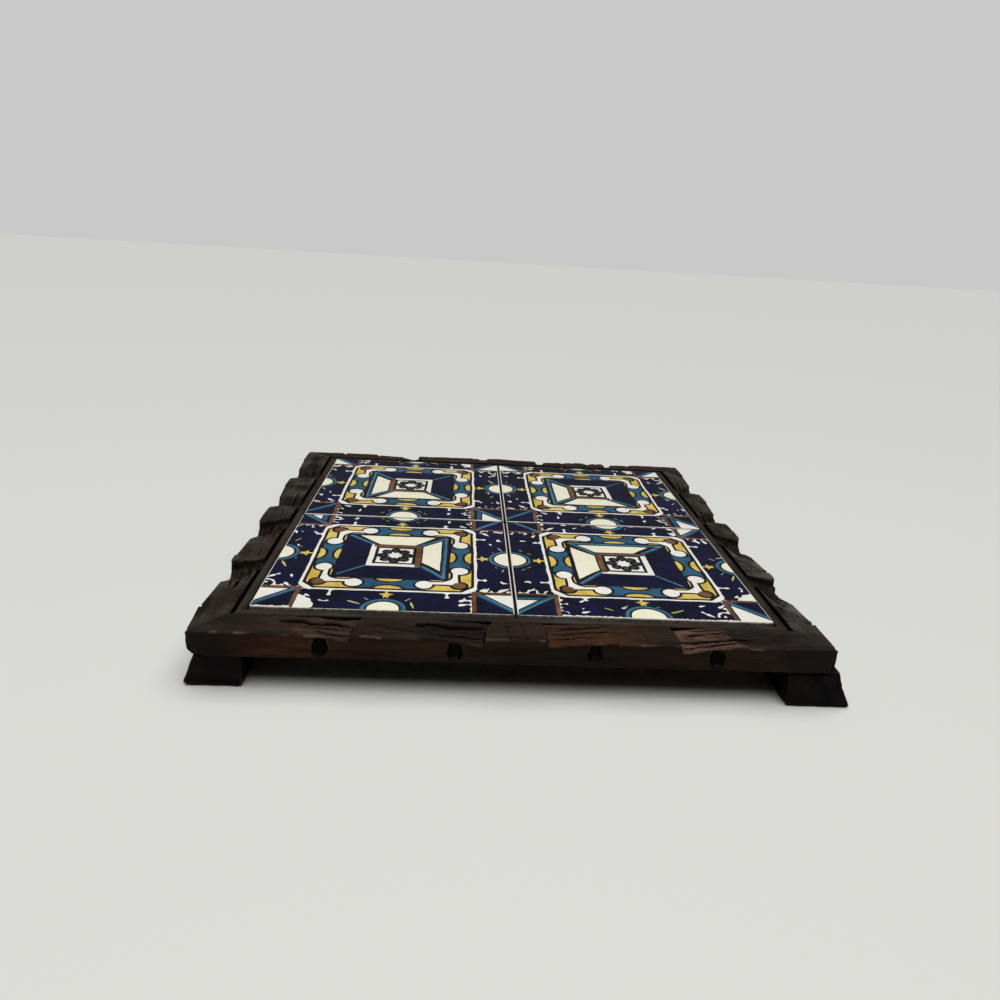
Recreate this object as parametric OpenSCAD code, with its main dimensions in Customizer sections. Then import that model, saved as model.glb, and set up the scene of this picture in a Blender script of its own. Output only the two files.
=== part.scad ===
/* [Tiles] */
// Side of one square tile
tile_side = 108; // [90:1:130]
// Thickness of one tile
tile_t = 6.3; // [5:0.1:9]
// Open joint between two tiles that lie side by side
tile_joint = 1; // [0.4:0.1:3]
// Radius of a tile's rounded top edge
tile_edge_r = 1.4; // [0.6:0.1:2.4]
// Radius of a tile's corners seen from above
tile_corner_r = 1.2; // [0.6:0.1:3]

/* [Adhesive] */
// Thickness of the adhesive under each tile
bed_t = 0.5; // [0.3:0.1:1.5]
// How far the adhesive stays back from a tile's edge
bed_inset = 6; // [2:0.5:20]

/* [Base board] */
// Thickness of the board that carries the tiles
board_t = 5.8; // [5:0.1:9]

/* [Liner] */
// Width of the flat strips between the tiles and the rails
liner_w = 4.2; // [3:0.1:8]
// How far the strips lie below the top of the tiles
liner_drop = 1.1; // [0.8:0.1:3.5]
// Gap between the strips and the tiles
tile_clear = 0.5; // [0.3:0.1:1.5]
// Open groove between the strips and the rails
groove_w = 0.8; // [0.3:0.1:1.5]

/* [Rails] */
// Width of a rail where its outline is straight
rail_w = 13.3; // [12:0.1:20]
// How far a rail's inner top edge lies below the top of the tiles
rail_inner_drop = 0.2; // [0:0.1:1]
// How far a rail's outer top edge lies below its inner one
rail_fall = 1.4; // [0.4:0.1:2]
// How far the hand cut outline strays beyond a true square
stray = 3.6; // [1:0.1:5]

/* [Carving] */
// Length of each ramp that the chisel cut into a rail's top
ramp_len = 38; // [25:1:42]
// Depth of a ramp at its steep wall, at the rail's inner edge
ramp_depth = 3; // [1.5:0.1:3.5]
// How much deeper a ramp is at the rail's outer edge
ramp_fall = 2; // [0.5:0.1:2.5]
// Radius of the round gouge mark in the outer face below each ramp
gouge_r = 3.4; // [2:0.1:4]
// Depth of that gouge mark
gouge_depth = 2.4; // [1:0.1:3]
// Height of the middle of a gouge mark above the rail's underside
gouge_up = 5.2; // [4.2:0.1:6]

/* [Feet] */
// Height of the feet
foot_h = 14.4; // [10:0.1:25]
// Side of the footprint of a foot that is set flush with the rails
foot_flush_side = 23; // [22:0.5:27]
// Side of the footprint of a foot that is set out past the rails
foot_wide_side = 26.5; // [24:0.5:32]
// How far a foot's outer side leans outwards towards the floor
foot_flare = 5; // [2:0.1:6]
// How far the set out feet reach past the corner of the rails
foot_reach = 8.7; // [4:0.1:9]
// How far the set out feet reach past the faces of the rails
foot_nose = 1.5; // [0:0.1:3]
// How far the flush feet reach past the sides of the rails
foot_flush_reach = 3.2; // [0:0.1:5]
// How far the flush feet stay behind the front and back faces
foot_flush_back = 1.8; // [0:0.1:3]
// Radius of the rounded lower edges of a foot
foot_edge_r = 2.4; // [0.5:0.1:4]

/* [Nails] */
// Diameter of a foot nail
nail_d = 1.6; // [1:0.1:2]
// How far the foot nails reach into the rails
nail_bite = 4.4; // [3:0.1:5]
// Diameter of a foot nail's head
nail_head_d = 3.4; // [2.4:0.1:4]
// Thickness of a nail's head
nail_head_t = 0.8; // [0.5:0.1:1.2]
// How far the heads are sunk into the feet
nail_sink = 0.8; // [0.3:0.1:1.5]
// Diameter of a corner brad
brad_d = 1.2; // [0.8:0.1:1.6]
// Length of a corner brad
brad_len = 18; // [15:0.5:22]
// Diameter of a corner brad's head
brad_head_d = 2.2; // [1.8:0.1:2.6]

/* [Hidden] */

$fn = 48;
quarter = 90;
overrun = 1;

rail_colour = "#3d2f26";
liner_colour = "#4a3c31";
board_colour = "#5b4636";
foot_colour = "#231c19";
tile_colour = "#e8e2d4";
bed_colour = "#c9c4b8";
steel_colour = "#8d8f92";

board_top = foot_h + board_t;
bed_top = board_top + bed_t;
tile_top = bed_top + tile_t;
tile_pitch = tile_side + tile_joint;
panel_half = tile_side + tile_joint / 2;
liner_inner = panel_half + tile_clear;
liner_outer = liner_inner + liner_w;
liner_top = tile_top - liner_drop;
opening_half = liner_outer + groove_w;
frame_half = opening_half + rail_w;
rail_inner_top = tile_top - rail_inner_drop;
rail_outer_top = rail_inner_top - rail_fall;
brad_z = (board_top + rail_outer_top) / 2;

// Corners run front left, front right, back right, back left, and each pair of
// shares says how far that corner strays sideways and endways
corner_shares = [[0, 0], [0.03, 0], [0.2, 0.42], [1, 0.42]];
// Outer edge of each rail between its corners, as shares of its half length and
// of the stray, in the order front, right, back, left
edge_shares = [
    [[0, 0.02]],
    [[-0.47, 0.17], [0.47, 0.22]],
    [[-0.5, 0.36], [0.4, 0.4]],
    [[-0.47, 0.92], [0, 0.8], [0.4, 0.67], [0.82, 0.47]]
];
// Steep walls of the ramps, as shares of a rail's half length, both ways from
// its middle
wall_shares = [0.09, 0.5];
// Gouge marks along each rail, as shares of its half length
gouge_shares = [
    [-0.605, -0.192, 0.24, 0.625],
    [-0.735, -0.3, 0.27, 0.66],
    [-0.62, -0.21, 0.25, 0.61],
    [-0.64, -0.24, 0.3, 0.74]
];
// Profile of a foot's outer side from the floor up, as shares of its flare and
// of its height
wide_side_shares = [[0, 0.05], [0.85, 0.62], [1, 1]];
wide_face_shares = [[0, 0.05], [0.06, 0.64], [0.62, 1]];
flush_side_shares = [[0, 0.1], [1, 1]];
flush_face_shares = [[0, 0.05], [0.1, 1]];

function turned(i) = i % 2 == 1;
function swapped(p, i) = turned(i) ? [p[1], p[0]] : p;
function left_corner(i) = swapped(corner_shares[i], i) * stray;
function right_corner(i) = swapped(corner_shares[(i + 1) % 4], i) * stray;
function mid_edge(i) = [
    for (s = edge_shares[i]) [s[0] * frame_half, -frame_half - s[1] * stray]
];
function rail_outline(i) = concat(
    [[-frame_half - left_corner(i)[0], -frame_half - left_corner(i)[1]]],
    mid_edge(i),
    [[frame_half + right_corner(i)[0], -frame_half - right_corner(i)[1]],
     [opening_half, -opening_half], [-opening_half, -opening_half]]
);

// Cuts what lies outside a rounded edge that runs along x at the origin, with
// the solid below it and towards +y
module round_edge_cut(length, r) {
    difference() {
        translate([-length / 2, -overrun, -r]) cube([length, r + overrun, r + overrun]);
        translate([-length / 2 - overrun, r, -r]) rotate([0, quarter, 0])
            cylinder(r = r, h = length + 2 * overrun);
    }
}

// The front rail's blank: its outline as cut by hand, with the mitred ends, under
// a top that falls outwards
module rail_blank(i) {
    reach = frame_half + stray + overrun;
    slope = rail_fall / rail_w;
    intersection() {
        translate([0, 0, foot_h]) linear_extrude(rail_inner_top - foot_h)
            polygon(rail_outline(i));
        rotate([quarter, 0, quarter]) linear_extrude(2 * reach, center = true) polygon([
            [-reach, foot_h - overrun],
            [overrun - opening_half, foot_h - overrun],
            [overrun - opening_half, rail_inner_top + slope * overrun],
            [-reach, rail_inner_top - slope * (reach - opening_half)]
        ]);
    }
}

// One chisel ramp: a steep wall on the side of the rail's middle, and a floor
// that rises away from it
module ramp_cut(wall_x) {
    tilt = atan((rail_fall + ramp_fall) / rail_w);
    across = rail_w + stray + 3 * overrun;
    translate([wall_x, -opening_half, rail_inner_top]) rotate([tilt, 0, 0])
        translate([0, 2 * overrun, 0]) rotate([quarter, 0, 0]) linear_extrude(across + 2 * overrun)
            polygon([
                [0, -ramp_depth], [ramp_len, 0], [ramp_len, ramp_depth + ramp_fall],
                [0, ramp_depth + ramp_fall]
            ]);
}

function edge_y(i, s) = -frame_half - lookup(s, concat(
    [[-1, left_corner(i)[1] / stray]], edge_shares[i], [[1, right_corner(i)[1] / stray]]
)) * stray;

module gouge_cut(i, s) {
    ball_r = (gouge_r * gouge_r + gouge_depth * gouge_depth) / (2 * gouge_depth);
    translate([s * frame_half, edge_y(i, s) - ball_r + gouge_depth, foot_h + gouge_up])
        sphere(r = ball_r);
}

module rail(i) {
    color(rail_colour) rotate([0, 0, i * quarter]) difference() {
        rail_blank(i);
        for (w = wall_shares) {
            ramp_cut(w * frame_half);
            mirror([1, 0, 0]) ramp_cut(w * frame_half);
        }
        for (s = gouge_shares[i]) gouge_cut(i, s);
        rotate([0, 0, -i * quarter]) {
            foot_nail_set(0);
            corner_brad_set();
        }
    }
}

// A mitred strip that lies on the board's edge, between the tiles and the rails
module liner(i) {
    color(liner_colour) rotate([0, 0, i * quarter])
        translate([0, 0, board_top]) linear_extrude(liner_top - board_top) polygon([
            [-liner_outer, -liner_outer], [liner_outer, -liner_outer],
            [liner_inner, -liner_inner], [-liner_inner, -liner_inner]
        ]);
}

module base_board() {
    color(board_colour) translate([-opening_half, -opening_half, foot_h])
        cube([2 * opening_half, 2 * opening_half, board_t]);
}

// Quarter 0 is front left, and the others follow to the right and back
function quarter_sign(k) = [k == 0 || k == 3 ? -1 : 1, k < 2 ? -1 : 1];

module at_quarter(k, z) {
    s = quarter_sign(k);
    translate([s[0] * tile_pitch / 2, s[1] * tile_pitch / 2, z]) children();
}

module bed(k) {
    side = tile_side - 2 * bed_inset;
    color(bed_colour) at_quarter(k, board_top)
        translate([-side / 2, -side / 2, 0]) cube([side, side, bed_t]);
}

module tile(k) {
    half = tile_side / 2;
    color(tile_colour) at_quarter(k, bed_top) difference() {
        translate([-half, -half, 0]) cube([tile_side, tile_side, tile_t]);
        for (a = [0:3]) rotate([0, 0, a * quarter]) {
            translate([0, -half, tile_t]) round_edge_cut(tile_side + 2 * overrun, tile_edge_r);
            translate([-half, -half, tile_t / 2]) rotate([0, quarter, 0])
                round_edge_cut(tile_t + 2 * overrun, tile_corner_r);
        }
    }
}

// Side view of a foot in [inwards, up], with its outer profile on the left and
// its inner lower edge rounded
module foot_view(side, shares) {
    polygon(concat(
        [[side, foot_h], [side, foot_edge_r]],
        [for (a = [0:6]) [
            side - foot_edge_r + foot_edge_r * cos(a * quarter / 6),
            foot_edge_r - foot_edge_r * sin(a * quarter / 6)
        ]],
        [[foot_edge_r, 0]],
        [for (s = shares) [s[0] * foot_flare, s[1] * foot_h]]
    ));
}

// A foot with its outer corner at the origin, growing inwards along +x and +y
module foot_block(side, side_shares, face_shares) {
    intersection() {
        translate([0, side + overrun, 0]) rotate([quarter, 0, 0])
            linear_extrude(side + 2 * overrun) foot_view(side, side_shares);
        translate([-overrun, 0, 0]) rotate([quarter, 0, quarter])
            linear_extrude(side + 2 * overrun) foot_view(side, face_shares);
    }
}

function is_wide(k) = k % 2 == 1;
function foot_x(k) = frame_half + (is_wide(k) ? foot_reach : foot_flush_reach);
function foot_y(k) = frame_half + (is_wide(k) ? foot_nose : -foot_flush_back);

module foot(k) {
    s = quarter_sign(k);
    color(foot_colour) difference() {
        translate([s[0] * foot_x(k), s[1] * foot_y(k), 0])
            mirror([s[0] > 0 ? 1 : 0, 0, 0]) mirror([0, s[1] > 0 ? 1 : 0, 0])
                if (is_wide(k)) foot_block(foot_wide_side, wide_side_shares, wide_face_shares);
                else foot_block(foot_flush_side, flush_side_shares, flush_face_shares);
        foot_nail_set(overrun);
    }
}

// A nail that points up from the origin, head down
module nail(shank_d, length, head_d, tail) {
    tip = shank_d;
    translate([0, 0, -tail]) cylinder(d = head_d, h = nail_head_t + tail);
    translate([0, 0, nail_head_t]) cylinder(d = shank_d, h = length - tip);
    translate([0, 0, nail_head_t + length - tip]) cylinder(d1 = shank_d, d2 = shank_d / 4, h = tip);
}

// Nails stand on a rail's middle line, at shares of its width from the groove
nail_across_share = 0.5;
nail_along_share = 0.1;
nail_spots = [
    [nail_along_share, nail_across_share] * rail_w,
    [nail_across_share, nail_along_share] * rail_w
];

// Each foot is nailed to both rails of its corner. A tail lengthens the heads
// downwards, to cut the holes that they are sunk in
module foot_nail_set(tail) {
    shank_len = foot_h + nail_bite - nail_sink - nail_head_t;
    for (k = [0:3], p = nail_spots) {
        s = quarter_sign(k);
        translate([s[0] * (opening_half + p[0]), s[1] * (opening_half + p[1]), nail_sink])
            nail(nail_d, shank_len, nail_head_d, tail > 0 ? nail_sink + tail : 0);
    }
}

// Two brads at each corner, driven in from the side rail into the end of the
// front or back rail, at shares of the rail's width from the groove
brad_across_shares = [0.2, 0.55];

module corner_brad_set() {
    for (k = [0:3], b = brad_across_shares) {
        s = quarter_sign(k);
        translate([s[0] * (frame_half - nail_head_t), s[1] * (opening_half + b * rail_w), brad_z])
            rotate([0, -s[0] * quarter, 0]) nail(brad_d, brad_len, brad_head_d, 0);
    }
}

rail(0);  // rail_front
rail(1);  // rail_right
rail(2);  // rail_back
rail(3);  // rail_left
liner(0);  // liner_front
liner(1);  // liner_right
liner(2);  // liner_back
liner(3);  // liner_left
base_board();
bed(0);  // bed_front_left
bed(1);  // bed_front_right
bed(2);  // bed_back_right
bed(3);  // bed_back_left
tile(0);  // tile_front_left
tile(1);  // tile_front_right
tile(2);  // tile_back_right
tile(3);  // tile_back_left
foot(0);  // foot_front_left
foot(1);  // foot_front_right
foot(2);  // foot_back_right
foot(3);  // foot_back_left
color(steel_colour) foot_nail_set(0);  // foot_nails
color(steel_colour) corner_brad_set();  // corner_brads
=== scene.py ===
import math
import random

import bmesh
import bpy
import numpy as np
from mathutils import Matrix, Vector


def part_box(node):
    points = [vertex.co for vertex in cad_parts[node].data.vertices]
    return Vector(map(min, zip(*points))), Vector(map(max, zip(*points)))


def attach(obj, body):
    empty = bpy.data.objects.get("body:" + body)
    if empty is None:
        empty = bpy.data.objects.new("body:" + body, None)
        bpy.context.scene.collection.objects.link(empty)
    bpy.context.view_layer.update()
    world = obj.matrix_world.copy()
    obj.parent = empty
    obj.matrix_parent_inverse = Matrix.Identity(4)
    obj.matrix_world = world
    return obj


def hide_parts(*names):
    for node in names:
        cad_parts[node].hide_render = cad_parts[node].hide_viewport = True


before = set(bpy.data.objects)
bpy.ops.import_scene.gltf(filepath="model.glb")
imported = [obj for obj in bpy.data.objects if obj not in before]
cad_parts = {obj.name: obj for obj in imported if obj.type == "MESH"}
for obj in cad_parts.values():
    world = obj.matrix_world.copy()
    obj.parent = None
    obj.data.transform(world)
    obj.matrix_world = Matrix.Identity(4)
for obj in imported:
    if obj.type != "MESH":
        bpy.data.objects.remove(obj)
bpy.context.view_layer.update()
mm = 0.001    # shapes are worked out in millimetres and made in metres

print("camera, light and floor")


def newObject(name, data):
    made = bpy.data.objects.new(name, data)
    bpy.context.scene.collection.objects.link(made)
    return made


def feed(tree, node, values):
    # a socket is linked to the input that its key names, and any other value is set there
    for key, value in values.items():
        if isinstance(value, bpy.types.NodeSocket):
            tree.links.new(value, node.inputs[key])
        else:
            node.inputs[key].default_value = value


def addNode(tree, kind, values=None, **settings):
    node = tree.nodes.new(kind)
    for key, value in settings.items():
        setattr(node, key, value)
    feed(tree, node, values or {})
    return node


def sums(tree, operation, first, second, clamp=False):
    values = {0: first, 1: second}
    return addNode(tree, "ShaderNodeMath", values, operation=operation, use_clamp=clamp).outputs[0]


def times(tree, first, second, clamp=False):
    return sums(tree, "MULTIPLY", first, second, clamp)


def plus(tree, first, second):
    return sums(tree, "ADD", first, second)


def spread(tree, value, low, high, toLow=0.0, toHigh=1.0):
    values = {"Value": value, "From Min": low, "From Max": high, "To Min": toLow, "To Max": toHigh}
    node = addNode(tree, "ShaderNodeMapRange", values, interpolation_type="SMOOTHSTEP")
    return node.outputs["Result"]


def mixColour(tree, factor, *colours):
    first, second = (c if isinstance(c, bpy.types.NodeSocket) else (*c, 1) for c in colours)
    values = {0: factor, 6: first, 7: second}
    return addNode(tree, "ShaderNodeMix", values, data_type="RGBA").outputs[2]


def layered(tree, colour, *layers):
    # colours laid over the first one by one, each where its mask says
    for mask, over in layers:
        colour = mixColour(tree, mask, colour, over)
    return colour


def newMaterial(name):
    material = bpy.data.materials.new(name)
    material.use_nodes = True
    tree = material.node_tree
    return material, tree, tree.nodes["Principled BSDF"]


cameraLook = {
    "place": (-25.4, -388.0, 171.9),    # mm
    "pitchDown": 0.3290,                # radians
    "yaw": 0.0567,
    "roll": 0.0592,
    "lens": 27.38,
    "sensor": 36.0,
}


def makeCamera(look):
    pitch, yaw, roll = look["pitchDown"], look["yaw"], look["roll"]
    flat, down = math.cos(pitch), math.sin(pitch)
    ahead = Vector((math.sin(yaw) * flat, math.cos(yaw) * flat, -down))
    level = Vector((math.cos(yaw), -math.sin(yaw), 0))
    upright = level.cross(ahead)
    right = math.cos(roll) * level + math.sin(roll) * upright
    up = math.cos(roll) * upright - math.sin(roll) * level
    turn = Matrix((right, up, -ahead)).transposed().to_4x4()
    data = bpy.data.cameras.new("camera")
    data.lens, data.sensor_width = look["lens"], look["sensor"]
    data.clip_start = 0.01
    camera = newObject("camera", data)
    camera.matrix_world = Matrix.Translation(Vector(look["place"]) * mm) @ turn
    bpy.context.scene.camera = camera


makeCamera(cameraLook)
bpy.context.scene.view_settings.view_transform = "Standard"

lightLook = {
    "power": 2.95,
    "spread": 1.15,         # radians, the lamp's width as the object sees it
    "lean": (0.08, 0.08),   # radians off the vertical, to the back and to the left
    "fill": 0.3,            # light from the ceiling, which fades towards the walls
    "fillFrom": 0.45, "fillFull": 0.95,    # heights of the sky where it starts and is full
    "background": 0.73,     # what the camera sees past the floor
    "mirrored": 0.1,        # what glaze and metal mirror
    "floor": (0.69, 0.688, 0.655),
    "floorHalf": 6.0,       # m
}


def makeLights(look):
    lamp = bpy.data.lights.new("softLamp", "SUN")
    lamp.angle, lamp.energy = look["spread"], look["power"]
    newObject("softLamp", lamp).rotation_euler = (*look["lean"], 0)
    world = bpy.data.worlds.new("softRoom")
    bpy.context.scene.world = world
    world.use_nodes = True
    tree = world.node_tree
    tree.nodes.clear()
    rays = addNode(tree, "ShaderNodeLightPath").outputs
    direction = addNode(tree, "ShaderNodeTexCoord").outputs["Generated"]
    height = addNode(tree, "ShaderNodeSeparateXYZ", {0: direction}).outputs["Z"]
    light = spread(tree, height, look["fillFrom"], look["fillFull"], 0.0, look["fill"])
    mirrors = sums(tree, "MAXIMUM", rays["Is Glossy Ray"], rays["Is Transmission Ray"])
    for mask, value in ((rays["Is Camera Ray"], "background"), (mirrors, "mirrored")):
        values = {"Factor": mask, "A": light, "B": look[value]}
        light = addNode(tree, "ShaderNodeMix", values).outputs[0]
    background = addNode(tree, "ShaderNodeBackground", {"Strength": light})
    addNode(tree, "ShaderNodeOutputWorld", {"Surface": background.outputs[0]})


def makeFloor(look):
    half = look["floorHalf"]
    mesh = bpy.data.meshes.new("floor")
    corners = [(-half, -half, 0), (half, -half, 0), (half, half, 0), (-half, half, 0)]
    mesh.from_pydata(corners, [], [(0, 1, 2, 3)])
    material, tree, shader = newMaterial("paleFloor")
    colour = (*look["floor"], 1)
    feed(tree, shader, {"Base Color": colour, "Roughness": 0.5, "Specular IOR Level": 0.2})
    mesh.materials.append(material)
    floor = newObject("floor", mesh)


makeLights(lightLook)
makeFloor(lightLook)

print("shared finishes")


def newGroup(name, inputs, outputs):
    # an input without a value is a place, and everything else is a number
    group = bpy.data.node_groups.new(name, "ShaderNodeTree")
    for socket, value in inputs.items():
        kind = "NodeSocketVector" if value is None else "NodeSocketFloat"
        made = group.interface.new_socket(name=socket, in_out="INPUT", socket_type=kind)
        if value is not None:
            made.default_value = value
    for socket in outputs:
        group.interface.new_socket(name=socket, in_out="OUTPUT", socket_type="NodeSocketFloat")
    return group, group.nodes.new("NodeGroupInput").outputs, group.nodes.new("NodeGroupOutput")


def noise(tree, place, scale, detail=3.0, rough=0.55, warp=0.0, along=None):
    # a share for along draws the noise out along x
    if along:
        values = {0: place, 1: (along, 1, 1)}
        place = addNode(tree, "ShaderNodeVectorMath", values, operation="MULTIPLY").outputs[0]
    values = {"Scale": scale, "Detail": detail, "Roughness": rough, "Distortion": warp}
    return addNode(tree, "ShaderNodeTexNoise", {"Vector": place, **values}).outputs["Fac"]


# Wood grain that runs along x of the place it is given, in metres
def makeWoodGrain():
    group, given, out = newGroup(
        "woodGrain", {"Place": None, "Fineness": 1.0}, ("Bands", "Fibres", "Pores", "Height"))
    values = {0: given["Place"], "Scale": given["Fineness"]}
    place = addNode(group, "ShaderNodeVectorMath", values, operation="SCALE").outputs[0]
    bands = noise(group, place, 150, 3, 0.5, 0.6, along=0.1)
    fibres = noise(group, place, 900, 4, 0.65, along=0.045)
    pores = spread(group, noise(group, place, 1500, 2, 0.5, along=0.09), 0.6, 0.7)
    feed(group, out, {
        "Bands": spread(group, bands, 0.32, 0.68),
        "Fibres": spread(group, fibres, 0.3, 0.7),
        "Pores": pores,
        "Height": sums(group, "SUBTRACT", fibres, times(group, pores, 0.6)),
    })
    return group


# Where stain is rubbed off, and a painted highlight along the rims: the stored edge wear and
# highlight, broken up by patches
def makeRubbedAndLitEdges():
    group, given, out = newGroup(
        "rubbedAndLitEdges", {"Place": None, "Wear": 0.0, "Amount": 1.0}, ("Mask",))
    patches = spread(group, noise(group, given["Place"], 120, 4, 0.6), 0.3, 0.62, 0.25, 1.0)
    wornAndLit = times(group, given["Wear"], patches)
    feed(group, out, {"Mask": times(group, wornAndLit, given["Amount"], True)})
    return group


# Dust that settles on faces which look up and in hollows, and a painted sheen on the faces which look
# up
def makeDustAndSheenGroup():
    group, given, out = newGroup(
        "dustAndSheenGroup", {"Place": None, "Hollow": 0.0, "Amount": 1.0}, ("Mask",))
    normal = addNode(group, "ShaderNodeNewGeometry").outputs["Normal"]
    height = addNode(group, "ShaderNodeSeparateXYZ", {0: normal}).outputs["Z"]
    clouds = spread(group, noise(group, given["Place"], 70, 5, 0.65), 0.35, 0.75)
    clouds = plus(group, clouds, times(group, given["Hollow"], 0.5))
    settled = times(group, spread(group, height, 0.35, 0.95), clouds)
    feed(group, out, {"Mask": times(group, settled, given["Amount"], True)})
    return group


# Fired glaze: deeper where it pools, with a soft ripple
def makeFiredGlaze():
    group, given, out = newGroup(
        "firedGlaze", {"Place": None, "Pooling": 1.0}, ("Tone", "Specks", "Height"))
    place = given["Place"]
    pools = times(group, noise(group, place, 160, 3, 0.6, 0.8), 0.4)
    brush = times(group, noise(group, place, 900, 3, 0.6, along=0.35), 0.25)
    wide = times(group, noise(group, place, 42, 2, 0.5, 0.4), 0.35)
    tone = spread(group, plus(group, plus(group, pools, brush), wide), 0.38, 0.62)
    feed(group, out, {
        "Tone": times(group, tone, given["Pooling"]),
        "Specks": spread(group, noise(group, place, 2200, 2, 0.5), 0.7, 0.78),
        "Height": noise(group, place, 90, 2, 0.5),
    })
    return group


woodGrain = makeWoodGrain()
rubbedAndLitEdges = makeRubbedAndLitEdges()
dustAndSheenGroup = makeDustAndSheenGroup()
firedGlaze = makeFiredGlaze()


def placeGroup(tree, group, place, **values):
    return addNode(tree, "ShaderNodeGroup", {"Place": place, **values}, node_tree=group).outputs


def readStored(tree, name, output="Fac"):
    return addNode(tree, "ShaderNodeAttribute", attribute_name=name).outputs[output]


def objectPlace(tree):
    return addNode(tree, "ShaderNodeTexCoord").outputs["Object"]


def coat(tree, shader, colour, rough, gloss, height, strength, depth=0.1):
    # what every material ends with; depth is that of its bumps, in mm
    values = {"Height": height, "Strength": strength, "Distance": depth * mm}
    normal = addNode(tree, "ShaderNodeBump", values).outputs["Normal"]
    feed(tree, shader, {"Base Color": colour, "Roughness": rough, "Normal": normal})
    if gloss is not None:
        feed(tree, shader, {"Specular IOR Level": gloss})


print("woods")

# Colours are linear. Each wooden mesh stores, point by point, its place in the
# grain, its wear and painted edge highlights, the painted shade of its hollows,
# its fresh cuts, its warm patches and its dust and painted sheen
woodLooks = {
    "carvedWood": {
        "dark": (0.0055, 0.004, 0.0034), "light": (0.026, 0.0165, 0.0105),
        "warm": (0.068, 0.025, 0.0085), "cut": (0.14, 0.078, 0.06),
        "wornAndLit": (0.15, 0.1, 0.072), "dust": (0.085, 0.078, 0.068),
        "rough": (0.42, 0.68), "wear": 0.5, "dusty": 0.38,
        "bump": 0.6, "fine": 1.0, "gloss": 0.055,
    },
    "linerWood": {
        "dark": (0.015, 0.0115, 0.009), "light": (0.046, 0.035, 0.027),
        "warm": (0.05, 0.028, 0.017), "cut": (0.035, 0.024, 0.018),
        "wornAndLit": (0.06, 0.045, 0.034), "dust": (0.075, 0.07, 0.062),
        "rough": (0.5, 0.7), "wear": 0.25, "dusty": 0.34,
        "bump": 0.4, "fine": 1.4, "gloss": 0.06,
    },
    "footWood": {
        "dark": (0.003, 0.0027, 0.0028), "light": (0.0085, 0.007, 0.0068),
        "warm": (0.017, 0.007, 0.005), "cut": (0.016, 0.01, 0.008),
        "wornAndLit": (0.06, 0.028, 0.018), "dust": (0.04, 0.038, 0.038),
        "rough": (0.4, 0.6), "wear": 0.4, "dusty": 0.12,
        "bump": 0.5, "fine": 0.9, "gloss": 0.03,
    },
}
unlit = (0.0014, 0.001, 0.0009)    # wood in hollows too deep for light


def makeWood(name, look):
    material, tree, shader = newMaterial(name)
    place = readStored(tree, "woodPlace", "Vector")
    hollow, cut = readStored(tree, "hollow"), readStored(tree, "freshCut")
    grain = placeGroup(tree, woodGrain, place, Fineness=look["fine"])
    fibres = grain["Fibres"]
    rubbedAndLit = placeGroup(
        tree, rubbedAndLitEdges, place, Wear=readStored(tree, "wear"), Amount=look["wear"])
    dusty = times(tree, readStored(tree, "dusty"), look["dusty"])
    dust = placeGroup(tree, dustAndSheenGroup, place, Hollow=hollow, Amount=dusty)
    streaks = times(tree, readStored(tree, "warm"), spread(tree, fibres, 0.1, 0.9, 0.45, 1.0))
    stain = layered(
        tree, look["dark"],
        (grain["Bands"], look["light"]),
        (streaks, look["warm"]),
        (times(tree, cut, fibres), look["cut"]),
        (times(tree, grain["Pores"], 0.7), look["dark"]),
        (rubbedAndLit["Mask"], look["wornAndLit"]),
        (dust["Mask"], look["dust"]),
        (times(tree, hollow, 0.96, True), unlit),
    )
    rough = spread(tree, plus(tree, fibres, cut), 0.1, 1.3, *look["rough"])
    coat(tree, shader, stain, rough, look["gloss"], grain["Height"], look["bump"], 0.25)
    return material


woods = {name: makeWood(name, look) for name, look in woodLooks.items()}

boardLook = {
    "pale": (0.15, 0.096, 0.06), "deep": (0.07, 0.042, 0.026), "stain": (0.02, 0.013, 0.01),
    "edgeStain": 109,    # mm from the middle, where stain has run in from the rails
    "stainFades": 6, "stainRagged": 8,
    "turn": 0.02,        # radians, the grain against the board's side
}


def makeBoardWood(look):
    material, tree, shader = newMaterial("boardWood")
    unturned = objectPlace(tree)
    values = {"Vector": unturned, "Rotation": (0, 0, look["turn"])}
    place = addNode(tree, "ShaderNodeMapping", values).outputs[0]
    grain = placeGroup(tree, woodGrain, place, Fineness=0.8)
    split = addNode(tree, "ShaderNodeSeparateXYZ", {0: unturned}).outputs
    sides = [sums(tree, "ABSOLUTE", split[axis], 0) for axis in "XY"]
    ragged = times(tree, noise(tree, place, 90, 3), look["stainRagged"] * mm)
    reach = plus(tree, sums(tree, "MAXIMUM", *sides), ragged)
    start, end = look["edgeStain"] * mm, (look["edgeStain"] + look["stainFades"]) * mm
    wood = layered(
        tree, look["deep"],
        (grain["Bands"], look["pale"]),
        (times(tree, grain["Pores"], 0.6), look["deep"]),
        (spread(tree, reach, start, end, 0.0, 0.9), look["stain"]),
    )
    rough = spread(tree, grain["Fibres"], 0, 1, 0.55, 0.8)
    coat(tree, shader, wood, rough, None, grain["Height"], 0.5, 0.3)
    return material


boardWood = makeBoardWood(boardLook)

print("glazes, adhesive and steel")

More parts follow.
